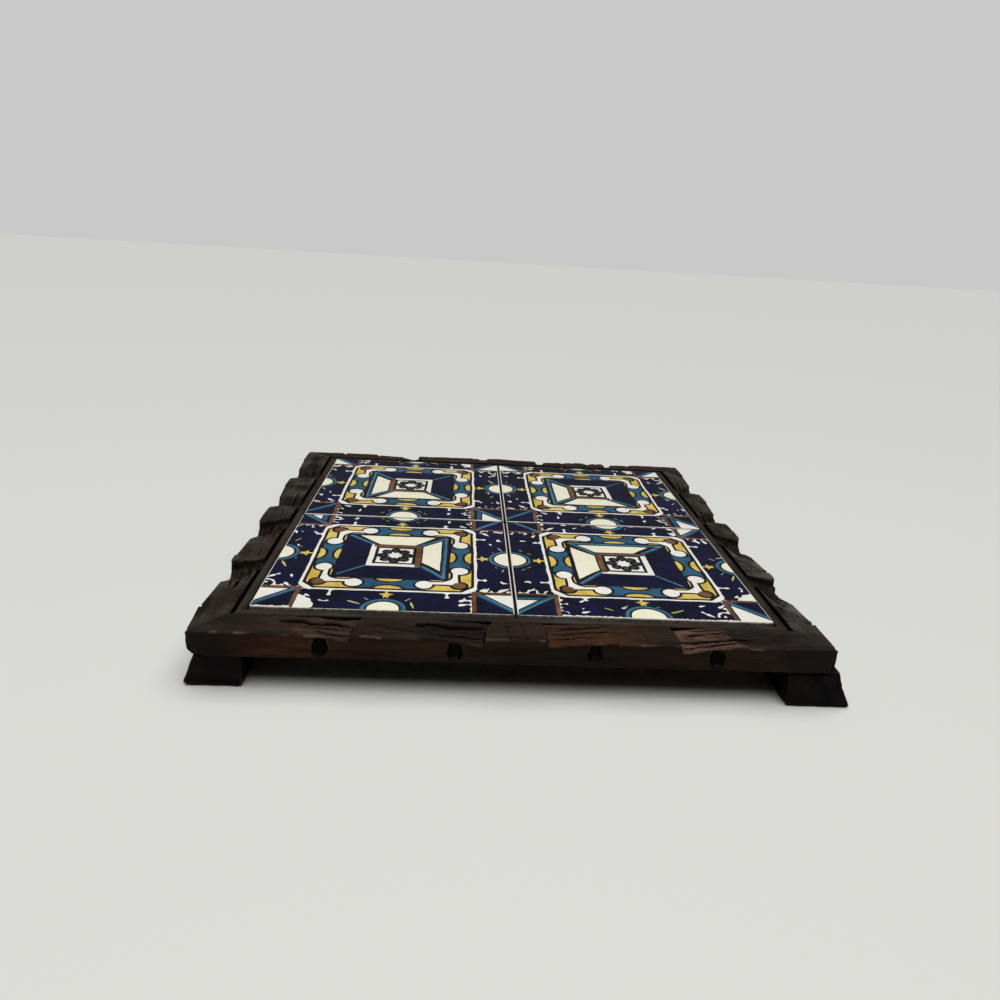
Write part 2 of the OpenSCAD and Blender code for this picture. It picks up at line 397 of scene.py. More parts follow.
glazeLooks = {
    "white": {"deep": (0.8, 0.775, 0.68), "thin": (0.9, 0.88, 0.81), "rough": 0.16},
    "cream": {"deep": (0.84, 0.8, 0.6), "thin": (0.9, 0.87, 0.69), "rough": 0.16},
    "navy": {"deep": (0.0022, 0.0024, 0.0085), "thin": (0.0055, 0.0062, 0.042), "rough": 0.14},
    "blue": {"deep": (0.018, 0.068, 0.13), "thin": (0.034, 0.122, 0.208), "rough": 0.15},
    "sky": {"deep": (0.07, 0.2, 0.29), "thin": (0.15, 0.32, 0.41), "rough": 0.15},
    "yellow": {"deep": (0.56, 0.375, 0.05), "thin": (0.79, 0.6, 0.15), "rough": 0.16},
    "lemon": {"deep": (0.38, 0.38, 0.09), "thin": (0.62, 0.6, 0.26), "rough": 0.16},
    "brown": {"deep": (0.085, 0.035, 0.017), "thin": (0.215, 0.105, 0.05), "rough": 0.18},
    "black": {"deep": (0.0035, 0.004, 0.006), "thin": (0.009, 0.01, 0.015), "rough": 0.18},
    "grey": {"deep": (0.02, 0.019, 0.02), "thin": (0.065, 0.062, 0.06), "rough": 0.18},
}
speck = (0.1, 0.07, 0.05)    # colour of the iron specks in every glaze


def makeGlaze(name, look):
    material, tree, shader = newMaterial(name + "Glaze")
    glaze = placeGroup(tree, firedGlaze, objectPlace(tree), Pooling=1.0)
    colour = layered(
        tree, look["thin"],
        (glaze["Tone"], look["deep"]),
        (times(tree, glaze["Specks"], 0.25), speck),
    )
    rough = spread(tree, glaze["Tone"], 0, 1, look["rough"], look["rough"] + 0.08)
    coat(tree, shader, colour, rough, 0.42, glaze["Height"], 0.25, 0.25)
    return material


glazes = {name: makeGlaze(name, look) for name, look in glazeLooks.items()}

edgeLook = {    # white glaze runs over the rim; below it the bare clay and grime are painted dark, partly as shade on the sides and in the gaps
    "white": (0.8, 0.775, 0.69), "shadedClay": (0.2, 0.175, 0.145), "shadedGrime": (0.09, 0.075, 0.06),
    "glazedTo": 0.24, "bareFrom": 0.42,    # mm below the tile's top
    "ragged": 0.2,
}


def makeTileEdge(look):
    material, tree, shader = newMaterial("glazeOverShadedClay")
    place = objectPlace(tree)
    height = addNode(tree, "ShaderNodeSeparateXYZ", {0: place}).outputs["Z"]
    patches = noise(tree, place, 450, 3)
    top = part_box("tile_front_left")[1][2] / mm + look["ragged"] / 2    # the noise adds about half
    low, high = (top - look["bareFrom"]) * mm, (top - look["glazedTo"]) * mm
    ragged = plus(tree, height, times(tree, patches, look["ragged"] * mm))
    glazed = spread(tree, ragged, low, high)
    shadedClay = mixColour(tree, spread(tree, patches, 0.3, 0.7), look["shadedGrime"], look["shadedClay"])
    colour = mixColour(tree, glazed, shadedClay, look["white"])
    coat(tree, shader, colour, spread(tree, glazed, 0, 1, 0.7, 0.18), 0.3, patches, 0.2)
    return material


tileEdge = makeTileEdge(edgeLook)

stockLooks = {
    "adhesive": {
        "dark": (0.42, 0.39, 0.34), "light": (0.6, 0.57, 0.51), "grain": 400,
        "rough": (0.8, 0.95), "metal": 0.0,
    },
    "nailSteel": {
        "dark": (0.28, 0.27, 0.26), "light": (0.5, 0.5, 0.49), "grain": 900,
        "rough": (0.28, 0.5), "metal": 1.0,
    },
}


def makePlainStock(name, look):
    material, tree, shader = newMaterial(name)
    patches = noise(tree, objectPlace(tree), look["grain"], 4, 0.6)
    colour = mixColour(tree, spread(tree, patches, 0.3, 0.7), look["dark"], look["light"])
    feed(tree, shader, {"Metallic": look["metal"]})
    coat(tree, shader, colour, spread(tree, patches, 0.3, 0.7, *look["rough"]), None, patches, 0.3)
    return material


stocks = {name: makePlainStock(name, look) for name, look in stockLooks.items()}

print("shapes shared by the wooden pieces")


def softNoise(x, y, seed):
    # smooth random hills in -1 to 1, one to each unit
    cellX, cellY = np.floor(x), np.floor(y)
    partX, partY = x - cellX, y - cellY
    easeX, easeY = partX * partX * (3 - 2 * partX), partY * partY * (3 - 2 * partY)

    def corner(stepX, stepY):
        place = (cellX + stepX) * 127.1 + (cellY + stepY) * 311.7 + seed * 74.7
        mixed = np.sin(place) * 43758.5453
        return 2 * (mixed - np.floor(mixed)) - 1

    near = corner(0, 0) * (1 - easeX) + corner(1, 0) * easeX
    far = corner(0, 1) * (1 - easeX) + corner(1, 1) * easeX
    return near * (1 - easeY) + far * easeY


def rise(value, low, high):
    share = np.clip((value - low) / (high - low), 0, 1)
    return share * share * (3 - 2 * share)


def roundOff(distance, radius):
    # how far a rounded edge lies below the corner, at a distance from it
    inside = np.clip(radius - distance, 0, radius)
    return radius - np.sqrt(np.maximum(radius * radius - inside * inside, 0))


def storeOn(mesh, **stored):
    for name, values in stored.items():
        values = np.asarray(values, np.float32)
        kind, key = ("FLOAT_VECTOR", "vector") if values.ndim == 2 else ("FLOAT", "value")
        mesh.attributes.new(name, kind, "POINT").data.foreach_set(key, values.ravel())


def readFrom(data, key, size, kind=float):
    values = np.empty(len(data) * size, kind)
    data.foreach_get(key, values)
    return values.reshape(-1, size) if size > 1 else values


def smoothFaces(mesh):
    for face in mesh.polygons:
        face.use_smooth = True


def edgeMasks(mesh):
    # how far each point stands proud of its neighbours, or lies in a hollow
    places, normals = (readFrom(mesh.vertices, key, 3) for key in ("co", "normal"))
    ends = readFrom(mesh.edges, "vertices", 2, int)

    def addNeighbours(total, values):
        for one, other in ((0, 1), (1, 0)):
            np.add.at(total, ends[:, one], values[ends[:, other]])
        return total

    ones = np.ones(len(places))
    near = addNeighbours(0 * ones, ones)
    away = places - addNeighbours(0 * places, places) / np.maximum(near, 1)[:, None]
    proud = (away * normals).sum(1) / mm
    for _ in range(2):    # spread a little, so that the masks don't flicker
        proud = addNeighbours(proud.copy(), proud) / (1 + near)
    return proud


def masked(proud, least, contrast):
    # how strongly it shows that points stand proud by more than the least, in mm
    return np.clip((proud - least) * contrast, 0, 1)


def turnOutwards(mesh):
    builder = bmesh.new()
    builder.from_mesh(mesh)
    bmesh.ops.recalc_face_normals(builder, faces=builder.faces)
    builder.to_mesh(mesh)
    builder.free()


def link(name, mesh, replaced):
    piece = newObject(name, mesh)
    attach(piece, "root")
    if replaced:
        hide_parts(*replaced)


def sizeOf(node):
    low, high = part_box(node)
    return np.array(low) / mm, np.array(high) / mm


openingHalf = sizeOf("base_board")[1][0]    # the rails' inner faces stand on the board's edge
railLow, railHigh = (corner[2] for corner in sizeOf("rail_front"))

print("rails")

railLook = {
    "width": 13.3, "fall": 1.4, "step": 0.55, "wallRun": 0.6, "endRun": 10, "blockRun": 3.4,
    "innerRound": 0.4, "outerRound": 0.45, "lowerRound": 0.55, "cornerRound": 1.6,
    "topPoints": 54, "facePoints": 20,
    "gougeWide": 3.3, "gougeHigh": 4.3, "gougeDeep": 2.4,
}
# How each rail was cut: how far from the wall a cut is deepest, how much of
# the drop is the wall itself, how deep the nicks at its far end are, how
# ragged its outer edge is, how round a block's end is, how dark the rough
# cuts are painted, how far the painted shade at the foot of a wall reaches, how far
# the lower corner is cut away at its first and last end, and how warm the top
# is and how much dust and painted sheen lies on it, against the place along the rail
railManner = {
    "rail_front": {
        "deepestAt": 1.6, "wallShare": 0.9, "nick": 0.3, "ragged": 0.35, "round": 0.2,
        "roughDark": 0.1, "shade": 1.6, "ends": (1.5, 0.3),
        "topWarm": [
            (-128, 0.03), (-60, 0.1), (34, 0.15), (40, 0.5), (51, 0.35), (58, 0.1), (128, 0.03),
        ],
        "dusty": [(-128, 0.32), (-108, 0.26), (-94, 0.15), (94, 0.15), (108, 0.26), (128, 0.32)],
    },
    "rail_right": {
        "deepestAt": 7.0, "wallShare": 0.6, "nick": 1.5, "ragged": 0.8, "round": 1.0,
        "roughDark": 0.45, "shade": 5.0, "ends": (0.3, 0.8),
        "topWarm": [(-128, 0.03), (128, 0.03)],
        "dusty": [
            (-128, 1.2), (-108, 2.0), (-95, 5.0), (-45, 3.4), (-20, 1.0), (0, 1.5), (85, 2.3),
            (128, 1.9),
        ],
    },
    "rail_back": {
        "deepestAt": 4.0, "wallShare": 0.65, "nick": 0.5, "ragged": 0.5, "round": 0.4,
        "roughDark": 0.1, "shade": 2.0, "ends": (0.8, 0.8),
        "topWarm": [(-128, 0.35), (128, 0.35)],
        "dusty": [(-128, 0.5), (128, 0.5)],
    },
    "rail_left": {
        "deepestAt": 6.5, "wallShare": 0.6, "nick": 1.5, "ragged": 0.8, "round": 0.9,
        "roughDark": 0.4, "shade": 4.5, "ends": (0.8, 1.5),
        "topWarm": [(-128, 0.03), (128, 0.03)],
        "dusty": [(-128, 2.4), (-80, 2.6), (-40, 1.8), (0, 1.1), (40, 1.8), (128, 1.4)],
    },
}

# Each row is one pair of chisel cuts, which share a steep wall: side of the
# middle, wall, length of the rough cut, length with the scoop, depths at the
# groove and at the outer edge, depth of the scoop, inset, warmth, bare
# wood, or painted darkening where that is below nothing
railCuts = {
    "rail_front": [
        (-1, 12.2, 28, 43, 1.5, 2.8, 1.1, 1, 0.14, -0.55),
        (1, 10.8, 28, 41, 1.3, 2.7, 0.7, 1.2, 0.8, 0),
        (-1, 64.2, 24, 36, 1.5, 2.5, 0.7, 1, 0.15, 0.38),
        (1, 63.8, 26, 40, 1.6, 3, 0.9, 1.1, 0.3, 1.2),
    ],
    "rail_right": [
        (-1, 8.6, 23, 41, 3, 5.2, 1.6, 2.3, 0.1, 0.08), (-1, 60.4, 22, 43, 3, 5, 1.6, 2.1, 0.08, 0.1),
        (1, 13.6, 20, 36, 2.8, 4.8, 1.4, 2, 0.08, 0.08),
        (1, 67.2, 18, 38, 2.8, 4.8, 1.4, 2.2, 0.08, 0.06),
    ],
    "rail_back": [
        (1, 53.8, 15, 27, 0.9, 2.9, 0.9, 1.4, 0.3, 0.15),
        (-1, 26.8, 6, 17, 0.4, 2.6, 0.6, 1, 0.4, 0.15),
        (-1, 74.6, 6.5, 17, 0.4, 2.6, 0.6, 1, 0.3, 0.15), (1, 6.2, 5, 8, 0.3, 1.2, 0.4, 0.5, 0.5, 0.1),
        (-1, 43.6, 4, 8, 0.2, 1, 0.4, 0.5, 0.4, 0.1), (-1, 60.6, 4, 8, 0.2, 1.1, 0.4, 0.5, 0.4, 0.1),
    ],
    "rail_left": [
        (1, 9.2, 23, 41, 2.9, 5, 1.2, 2.3, 0.08, 0.08),
        (1, 61.4, 19, 43, 2.9, 5, 1.1, 2.8, 0.06, 0.06),
        (-1, 13.6, 21, 36, 2.7, 4.8, 1.2, 2, 0.05, 0.06),
        (-1, 66.4, 20, 40, 2.7, 4.6, 1.1, 1.8, 0.05, 0.06),
    ],
}
# Long splits in the rough cuts: from, to, distance from the groove, depth, half width
railSplits = {
    "rail_front": [
        (-95, -64.8, 4.2, 2.6, 0.85), (-80, -64.8, 10.2, 1.8, 0.55), (-41, -13.2, 3.9, 3, 0.95),
        (-33, -13, 9.6, 1.9, 0.5), (13, 38, 5.4, 1.9, 0.45), (12, 33, 8.8, 1.2, 0.35),
        (64.4, 96, 7.6, 2.6, 0.8), (64.4, 91, 10.6, 1.5, 0.4), (-88, -64, 0.5, 2, 0.6),
        (-86, -68, 7.3, 1.2, 0.35), (67, 88, 4.3, 1.3, 0.35), (-39, -18, 6.8, 1, 0.3),
        (16, 34, 2.4, 1.1, 0.35), (70, 84, 1.6, 1, 0.3), (-8, -1, 4.6, 0.9, 0.3),
        (-2, 6, 8.2, 0.8, 0.28), (-58, -47, 9.4, 0.7, 0.28), (98, 112, 6.6, 0.7, 0.25),
        (-118, -104, 8.4, 0.6, 0.25),
    ],
    "rail_right": [
        (-36, -10, 6.2, 2.6, 0.8), (-30, -11, 2.4, 1.9, 0.55), (-31, -12, 9.8, 1.8, 0.5),
        (-96, -63, 3.4, 2.2, 0.65), (-90, -63, 6.6, 2.6, 0.75), (-88, -64, 10.2, 1.7, 0.45),
        (14, 37, 5, 2.4, 0.7), (14, 30, 9.4, 1.8, 0.5), (68, 92, 4.6, 2.2, 0.6),
        (68, 90, 8.8, 1.7, 0.45), (-56, -44, 5.4, 0.9, 0.3), (-6, 6, 7.2, 0.8, 0.3),
        (44, 56, 4.4, 0.8, 0.3),
    ],
    "rail_back": [
        (54, 78, 4.2, 1.6, 0.6), (56, 74, 8.6, 1.6, 0.5), (-38, -28, 9.4, 1.4, 0.45),
        (-88, -76, 9, 1.4, 0.45), (8, 30, 5.6, 0.9, 0.35), (-14, 2, 7.8, 0.8, 0.3),
        (-72, -62, 6.2, 0.9, 0.35), (92, 108, 7, 0.8, 0.3),
    ],
    "rail_left": [
        (62, 92, 6.2, 2.6, 0.75), (62, 84, 3, 1.9, 0.55), (63, 88, 9.8, 1.9, 0.55),
        (10, 34, 4.4, 2.5, 0.7), (10, 30, 9.4, 2.2, 0.6), (-38, -14, 5.4, 2.2, 0.65),
        (-34, -15, 9.8, 1.6, 0.45), (-92, -67, 6, 2.1, 0.6), (-88, -68, 10, 1.5, 0.4),
        (44, 57, 4.8, 0.9, 0.3), (-8, 4, 6.6, 0.8, 0.3),
    ],
}
railNotches = {    # knife cuts across the top: place along the rail, depth, half width
    "rail_front": [(-4.2, 0.55, 0.9), (2.4, 0.45, 1.0), (50.6, 0.4, 0.9), (-50.2, 0.3, 0.8)],
    "rail_right": [(-51.4, 0.5, 1.0), (3.2, 0.6, 1.1), (54.0, 0.5, 1.0), (104.0, 0.4, 0.9)],
    "rail_back": [(81.0, 0.9, 1.1), (105.0, 1.1, 1.3), (31.0, 0.4, 0.9), (-93.0, 0.7, 1.0)],
    "rail_left": [(-52.0, 0.5, 1.0), (-1.8, 0.6, 1.0), (47.6, 0.5, 1.0), (-103.0, 0.4, 0.9)],
}
railGouges = {    # middle of each gouge mark, along the rail and above the floor
    "rail_front": [(-77.0, 19.5), (-24.5, 19.3), (30.5, 19.9), (79.5, 19.3)],
    "rail_right": [(-93.6, 19.4), (-38.2, 19.6), (34.4, 19.4), (84.0, 19.6)],
    "rail_back": [(-79.0, 19.5), (-26.7, 19.4), (31.8, 19.6), (77.7, 19.4)],
    "rail_left": [(-81.5, 19.5), (-30.6, 19.4), (38.2, 19.6), (94.2, 19.4)],
}
railWarmth = {    # bare brown on the outer face, against the place along the rail
    "rail_front": [
        (-128, 0.1), (-112, 0.3), (-98, 0.85), (-72, 0.75), (-60, 0.35), (-40, 0.5),
        (-5, 0.3), (20, 0.2), (60, 0.3), (100, 0.42), (110, 0.15), (128, 0.03),
    ],
    "rail_right": [(-128, 0.05), (-60, 0.25), (0, 0.15), (60, 0.3), (128, 0.05)],
    "rail_back": [(-128, 0.1), (-60, 0.4), (0, 0.2), (60, 0.45), (128, 0.1)],
    "rail_left": [(-128, 0.05), (-60, 0.3), (0, 0.2), (60, 0.25), (128, 0.08)],
}


def outerLine(name, quarters):
    # the rail's outline on its underside, in [along, out] as seen from outside
    places = readFrom(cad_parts[name].data.vertices, "co", 3) / mm
    angle = -quarters * math.pi / 2
    c, s = math.cos(angle), math.sin(angle)
    along = places[:, 0] * c - places[:, 1] * s
    out = -(places[:, 0] * s + places[:, 1] * c) - openingHalf
    low = (places[:, 2] < railLow + 0.01) & (out > 0.85 * railLook["width"])
    return np.array(sorted({(round(a, 2), round(o, 3)) for a, o in zip(along[low], out[low])}))


def chiselCut(manner, number, row, along, share):
    # a rough cut that falls away from its wall, a smooth scoop past it, and a nick at the far end
    side, wall, roughLen, lobeLen, deepIn, deepOut, lobeDeep, maxInset, warmth, bareWood = row
    peak, wallShare, shade = manner["deepestAt"], manner["wallShare"], manner["shade"]
    wander = 0.45 * softNoise(share * 4, number, 11) + 0.22 * softNoise(share * 13, number, 12)
    bow = 2.6 * np.clip(1 - share / 0.55, 0, 1) ** 2 - 0.3 * share
    past = side * along - wall + bow + wander    # how far past the wall each point lies
    into = rise(past, 0, railLook["wallRun"])

    endOf = roughLen + 2.5 * softNoise(share * 3, number * 7, 5) - 5 * (1 - share)
    reach = endOf * (1 + 0.3 * share)
    falls = np.clip(1 - (past - peak) / np.maximum(reach - peak, 1), 0, 1)
    falls = np.where(past < peak, wallShare + (1 - wallShare) * rise(past, 0, peak), falls)
    floor = (deepIn + (deepOut - deepIn) * share) * falls * into
    floor = floor * (1 - rise(past, endOf - 1.5, endOf + 1.0))

    shareOn = np.clip((past - roughLen) / (lobeLen - roughLen), 0, 1)
    edge = 0.18 + 0.34 * shareOn + 0.48 * shareOn ** 6
    over = np.clip((share - edge) / np.maximum(1 - edge, 0.05), 0, 1)
    inLobe = into * rise(past, roughLen - 7, roughLen - 1)
    inLobe = inLobe * (1 - rise(past, lobeLen - 0.8, lobeLen + 0.3))
    scoop = lobeDeep * (1 - 0.55 * shareOn) * (0.5 * rise(over, 0, 0.14) + 0.5 * over) * inLobe
    ridge = 0.04 * np.exp(-((share - edge) / 0.035) ** 2) * inLobe
    nick = np.clip(1 - np.abs(past - lobeLen - 1.2) / 1.6, 0, 1) * rise(share, 0.6, 0.98)
    nick = manner["nick"] * nick

    widest = max(peak, roughLen * 0.6)
    roughInset = maxInset * (0.15 + 0.85 * rise(past, 0.5, widest)) * into
    roughInset = roughInset * (1 - rise(past, endOf, endOf + 0.8))
    lobeInset = 0.45 * maxInset * (1 - 0.7 * shareOn) * (past > endOf)
    lobeInset = lobeInset * (1 - rise(past, lobeLen, lobeLen + 0.8))
    run = railLook["blockRun"]
    nearEnd = np.clip((past + run) / run, 0, 1) * (1 - rise(past, 0.4, run))
    blockEnd = manner["round"] * (1 - np.sqrt(1 - nearEnd ** 2))
    inRough = into * (1 - rise(past, endOf - 3, endOf + 2))
    # painted shade at the foot of each wall and in the nicks
    foot = into * (1 - rise(past, 0.4 * shade, shade))
    darkened = max(manner["roughDark"], -bareWood) * inRough
    return {
        "depth": np.maximum(floor, scoop) + nick,
        "ridge": ridge * (floor < 0.3),
        "inset": np.maximum(np.maximum(roughInset, lobeInset) + 0.7 * nick, blockEnd),
        "rough": inRough,
        "bare": inRough * warmth,
        "fresh": inRough * bareWood,
        "dark": np.maximum(0.9 * foot + 0.7 * nick / 1.6, darkened),
    }


def cutShape(name, along, share, width):
    # depth of the carving below the plain top, its inset of the outer edge, and
    # where the wood is rough, bare, freshly cut or too deep for light
    shape = {key: 0 * along for key in ("depth", "inset", "rough", "bare", "fresh", "dark")}
    for number, row in enumerate(railCuts[name]):
        cut = chiselCut(railManner[name], number, row, along, share)
        shape = {key: np.maximum(values, cut[key]) for key, values in shape.items()}
        shape["depth"] = shape["depth"] - cut["ridge"]
    depth, dark = shape["depth"], shape["dark"]
    for start, end, across, deep, halfWidth in railSplits[name]:
        middle, half = (start + end) / 2, (end - start) / 2
        lens = np.sqrt(np.clip(1 - ((along - middle) / half) ** 2, 0, 1))
        drift = 0.7 * softNoise(along / 8, 0, across * 3)
        drift = drift + 0.22 * softNoise(along / 2.1, 0, across * 5)
        away = np.abs(share * width - across - drift) / (halfWidth * (0.3 + 0.7 * lens))
        near = np.exp(-away ** 1.4)
        depth = depth + deep * lens * near
        # painted shade inside the splits
        dark = np.maximum(dark, rise(lens, 0, 0.4) * rise(near, 0.2, 0.45) * min(1, deep / 1.1))
    for at, deep, halfWidth in railNotches[name]:
        skew = 1.4 * (share - 0.5) + 0.5 * softNoise(share * 3, at, 14)
        near = np.clip(1 - np.abs(along - at - skew) / halfWidth, 0, 1)
        depth = depth + deep * near * (0.5 + 0.5 * share)
        # painted shade in the notches
        dark = np.maximum(dark, 0.6 * near * deep)
    return {**shape, "depth": depth, "dark": dark}


def plainTop(name, along, out):
    # the rail's top before the carving: it falls outwards in flat, crisp facets
    crown = 0.45 * np.exp(-(along / 13) ** 2) - 0.12 * rise(np.abs(along), 96, 126)
    facets = 0.34 * np.abs(softNoise(along / 17, out / 8, 3 + len(name))) - 0.22
    rough = np.minimum(crown + facets, 0.12 + 0.06 * out)
    return railHigh - railLook["fall"] * out / railLook["width"] + rough


def railStations(name, look, reach):
    # places along the rail, close together at the walls of the cuts and at their far ends
    steps = [np.arange(-reach, reach, look["step"]), [-reach, reach]]
    for side, wall, _, lobeLen, *_ in railCuts[name]:
        steps.append(side * np.arange(wall - look["blockRun"], wall + 2.4, 0.2))
        steps.append(side * np.arange(wall + lobeLen - 0.8, wall + lobeLen + 3, 0.25))
    along = np.unique(np.round(np.concatenate(steps), 2))
    along = along[np.concatenate([[True], np.diff(along) > 0.09])]
    along[-1] = reach
    return along


def gougeMarks(name, look, u, faceZ):
    hollow = 0 * faceZ
    for middle, height in railGouges[name]:
        beside, above = (u - middle) / look["gougeWide"], (faceZ - height) / look["gougeHigh"]
        ragged = 0.28 * softNoise(u / 1.6 + middle, faceZ / 1.3, 33)
        away = beside ** 2 + above ** 2 + ragged
        bowl = look["gougeDeep"] * np.clip(1 - away, 0, 1) ** 0.85
        ripple = 0.25 * np.sin(faceZ * 4.2) * rise(bowl, 0.3, 1.2)
        hollow = np.maximum(hollow, bowl + ripple)
    return hollow


def railMesh(name, quarters, local):
    # a closed mesh from rings of points; the last two points are the middles of its ends
    count, points = local.shape[:2]
    places = np.concatenate([local.reshape(-1, 3), [local[0].mean(0), local[-1].mean(0)]])
    here = np.arange(count * points).reshape(count, points)
    after = np.roll(here, -1, axis=1)
    quads = np.stack([here[:-1], after[:-1], after[1:], here[1:]], axis=-1).reshape(-1, 4)
    ends = [(count * points, after[0, j], here[0, j]) for j in range(points)]
    ends += [(count * points + 1, here[-1, j], after[-1, j]) for j in range(points)]
    angle = quarters * math.pi / 2
    c, s = math.cos(angle), math.sin(angle)
    turn = np.array([[c, -s, 0], [s, c, 0], [0, 0, 1]])
    mesh = bpy.data.meshes.new(name)
    mesh.from_pydata((places @ turn.T * mm).tolist(), [], quads.tolist() + ends)
    turnOutwards(mesh)
    smoothFaces(mesh)
    return mesh, places


def makeRail(name, quarters):
    look, manner = railLook, railManner[name]
    outline = outerLine(name, quarters)
    reach = np.abs(outline[[0, -1], 0]).max()
    u = railStations(name, look, reach)[:, None]

    def placedAlong(out):
        # past the opening, the stations close up so that the last lies on the mitre
        start = openingHalf - look["endRun"]
        shift = np.abs(u) - start
        ends = np.where(u < 0, abs(outline[0, 0]), outline[-1, 0])
        outs = np.where(u < 0, outline[0, 1], outline[-1, 1])
        mitre = openingHalf + out * (ends - openingHalf) / outs
        moved = np.sign(u) * (start + shift * (mitre - start) / (reach - start))
        return np.where(shift > 0, moved, u + 0 * out)

    even = np.linspace(0, 1, look["topPoints"])
    share = 0.45 * (0.5 - 0.5 * np.cos(even * math.pi)) + 0.55 * even + 0 * u
    corner = np.minimum(np.abs(u + abs(outline[0, 0])), np.abs(outline[-1, 0] - u))
    fullWidth = np.interp(u, *outline.T) - roundOff(corner, look["cornerRound"])
    x = placedAlong(share * fullWidth)
    cut = cutShape(name, x, share, fullWidth)
    rough = cut["rough"]
    ragged = manner["ragged"] * rough[:, -1:] * np.abs(softNoise(u / 2.4, 0, 27))
    edgeInset = cut["inset"][:, -1:] + ragged
    topWidth = fullWidth - edgeInset
    out = share * topWidth
    fibres = softNoise(x / 10, out / 0.6, 21) * 0.17 + softNoise(x / 3, out / 0.36, 22) * 0.12
    crests = 1 - np.abs(softNoise(x / 16, out / 1.2, 23))
    crests = crests - 0.6 * np.abs(softNoise(x / 5, out / 2.6, 28))
    z = plainTop(name, x, out) - cut["depth"] + rough * (fibres + 0.3 * crests - 0.16)
    z = z + (1 - rough) * 0.06 * softNoise(x / 6, out / 0.7, 24)
    z = z + 0.05 * softNoise(x / 0.9, out / 2.2, 25)    # small marks of the blade across the top
    z = np.minimum(z, railHigh + 0.12)
    wornRound = look["outerRound"] * (1 + 0.35 * softNoise(x / 9, 0, 26))
    z = z - roundOff(out, look["innerRound"]) - roundOff(topWidth - out, wornRound)

    faceShare = np.linspace(0, 1, look["facePoints"] + 1)[1:]
    faceZ = z[:, -1:] + (railLow - z[:, -1:]) * faceShare
    up = faceZ - railLow
    hollow = gougeMarks(name, look, u, faceZ)
    faceOut = fullWidth - edgeInset * (1 - faceShare) ** 1.6 - hollow
    faceOut = faceOut + 0.14 * softNoise(u / 11, faceZ / 2.6, 31) - 0.14
    faceOut = faceOut + 0.06 * softNoise(u / 4, faceZ / 0.6, 32)
    ends = np.where(u < 0, *manner["ends"]) * (1 - rise(corner, 0, 7))
    faceOut = faceOut - roundOff(up, look["lowerRound"]) - ends * (1 - rise(up, 0, 4.5)) ** 1.5

    innerZ = railLow + (z[:, :1] - railLow) * np.array([0, 0.35, 0.7, 0.9])
    under = faceOut[:, -1:] * np.array([0.85, 0.6, 0.35, 0.12])
    outs = np.concatenate([0 * innerZ, out, faceOut, under], axis=1)
    heights = np.concatenate([innerZ, z, faceZ, railLow + 0 * under], axis=1)
    farX = placedAlong(outs)
    local = np.stack([farX, -openingHalf - outs, heights], axis=-1)
    mesh, places = railMesh(name + "_carved", quarters, local)

    def onRings(top, face, inner=0, below=0):
        # a value for every point, from those of the inner side, top, face and underside
        parts = [0 * innerZ + inner, 0 * share + top, 0 * faceZ + face, 0 * under + below]
        return np.append(np.concatenate(parts, axis=1).ravel(), [0, 0])

    def against(pairs, at):
        return np.interp(at, *np.array(pairs).T)

    mitreAt = np.abs(np.abs(farX) - openingHalf - outs * (reach - openingHalf) / look["width"])
    ofEdge = rise(heights, railLow + 2, railLow + 6) * rise(mitreAt, 1.2, 3.0)
    proud = edgeMasks(mesh) * (1 - 0.8 * onRings(0, rise(hollow, 0.0, 0.3)))
    proud[:-2] *= ofEdge.ravel()
    topWarm = against(manner["topWarm"], x)
    topWarm = topWarm * (0.5 + 0.5 * rise(softNoise(x / 20, share * 2, 61), -0.5, 0.5))
    warmAlong = against(railWarmth[name], u)
    faceWarm = warmAlong * (0.75 + 0.5 * softNoise(u / 12, faceZ / 2.2, 41)) * rise(up, 0.2, 2.0)
    # painted shade inside the gouge marks
    inGouge = rise(hollow, 0.05, 0.5)
    faceDark = 0.5 - 0.45 * warmAlong + 0.2 * softNoise(u / 15, faceZ / 5, 42)
    faceDark = np.maximum(inGouge, np.clip(faceDark, 0, 1))
    # painted highlight: a broken light line along the outer top edge, stored with the edge wear
    rimHighlights = rise(share, 0.93, 0.985) * rise(softNoise(u / 4.5, 0, 51), 0.2, 0.6)
    rimHighlights = rimHighlights * ofEdge[:, 4:4 + look["topPoints"]]
    # painted shade along the groove at the rail's inner edge
    groove = rise(-out, -0.5, -0.15) * (name != "rail_back")
    # painted shade in cracks, at wall feet, in gouges and the groove, on the inner side and underside,
    # with a darker outer face
    shadeAndFaceDark = onRings(np.maximum(cut["dark"], groove), faceDark, 1, 0.8)
    warm = onRings(np.maximum(cut["bare"], topWarm), faceWarm * (1 - inGouge))
    # dust and painted sheen on the top, against the place along the rail
    dusty = against(manner["dusty"], u)
    storeOn(
        mesh,
        woodPlace=(places + np.array([31.7, 5.3, 17.1]) * quarters) * mm,
        wear=np.clip((proud - 0.025) * 10 + 1.2 * onRings(rimHighlights, 0), 0, 1),
        # painted shade in creases and wherever the marks above say
        hollow=np.clip(masked(-proud, 0.03, 12) + shadeAndFaceDark, 0, 1),
        freshCut=onRings(cut["fresh"], 0),
        warm=np.clip(warm, 0, 1),
        dusty=onRings((1.1 - rough) * dusty, 0.25 * dusty),
    )
    layRailMap(mesh, *local.shape[:2])
    mesh.materials.append(woods["carvedWood"])
    link(mesh.name, mesh, [name])


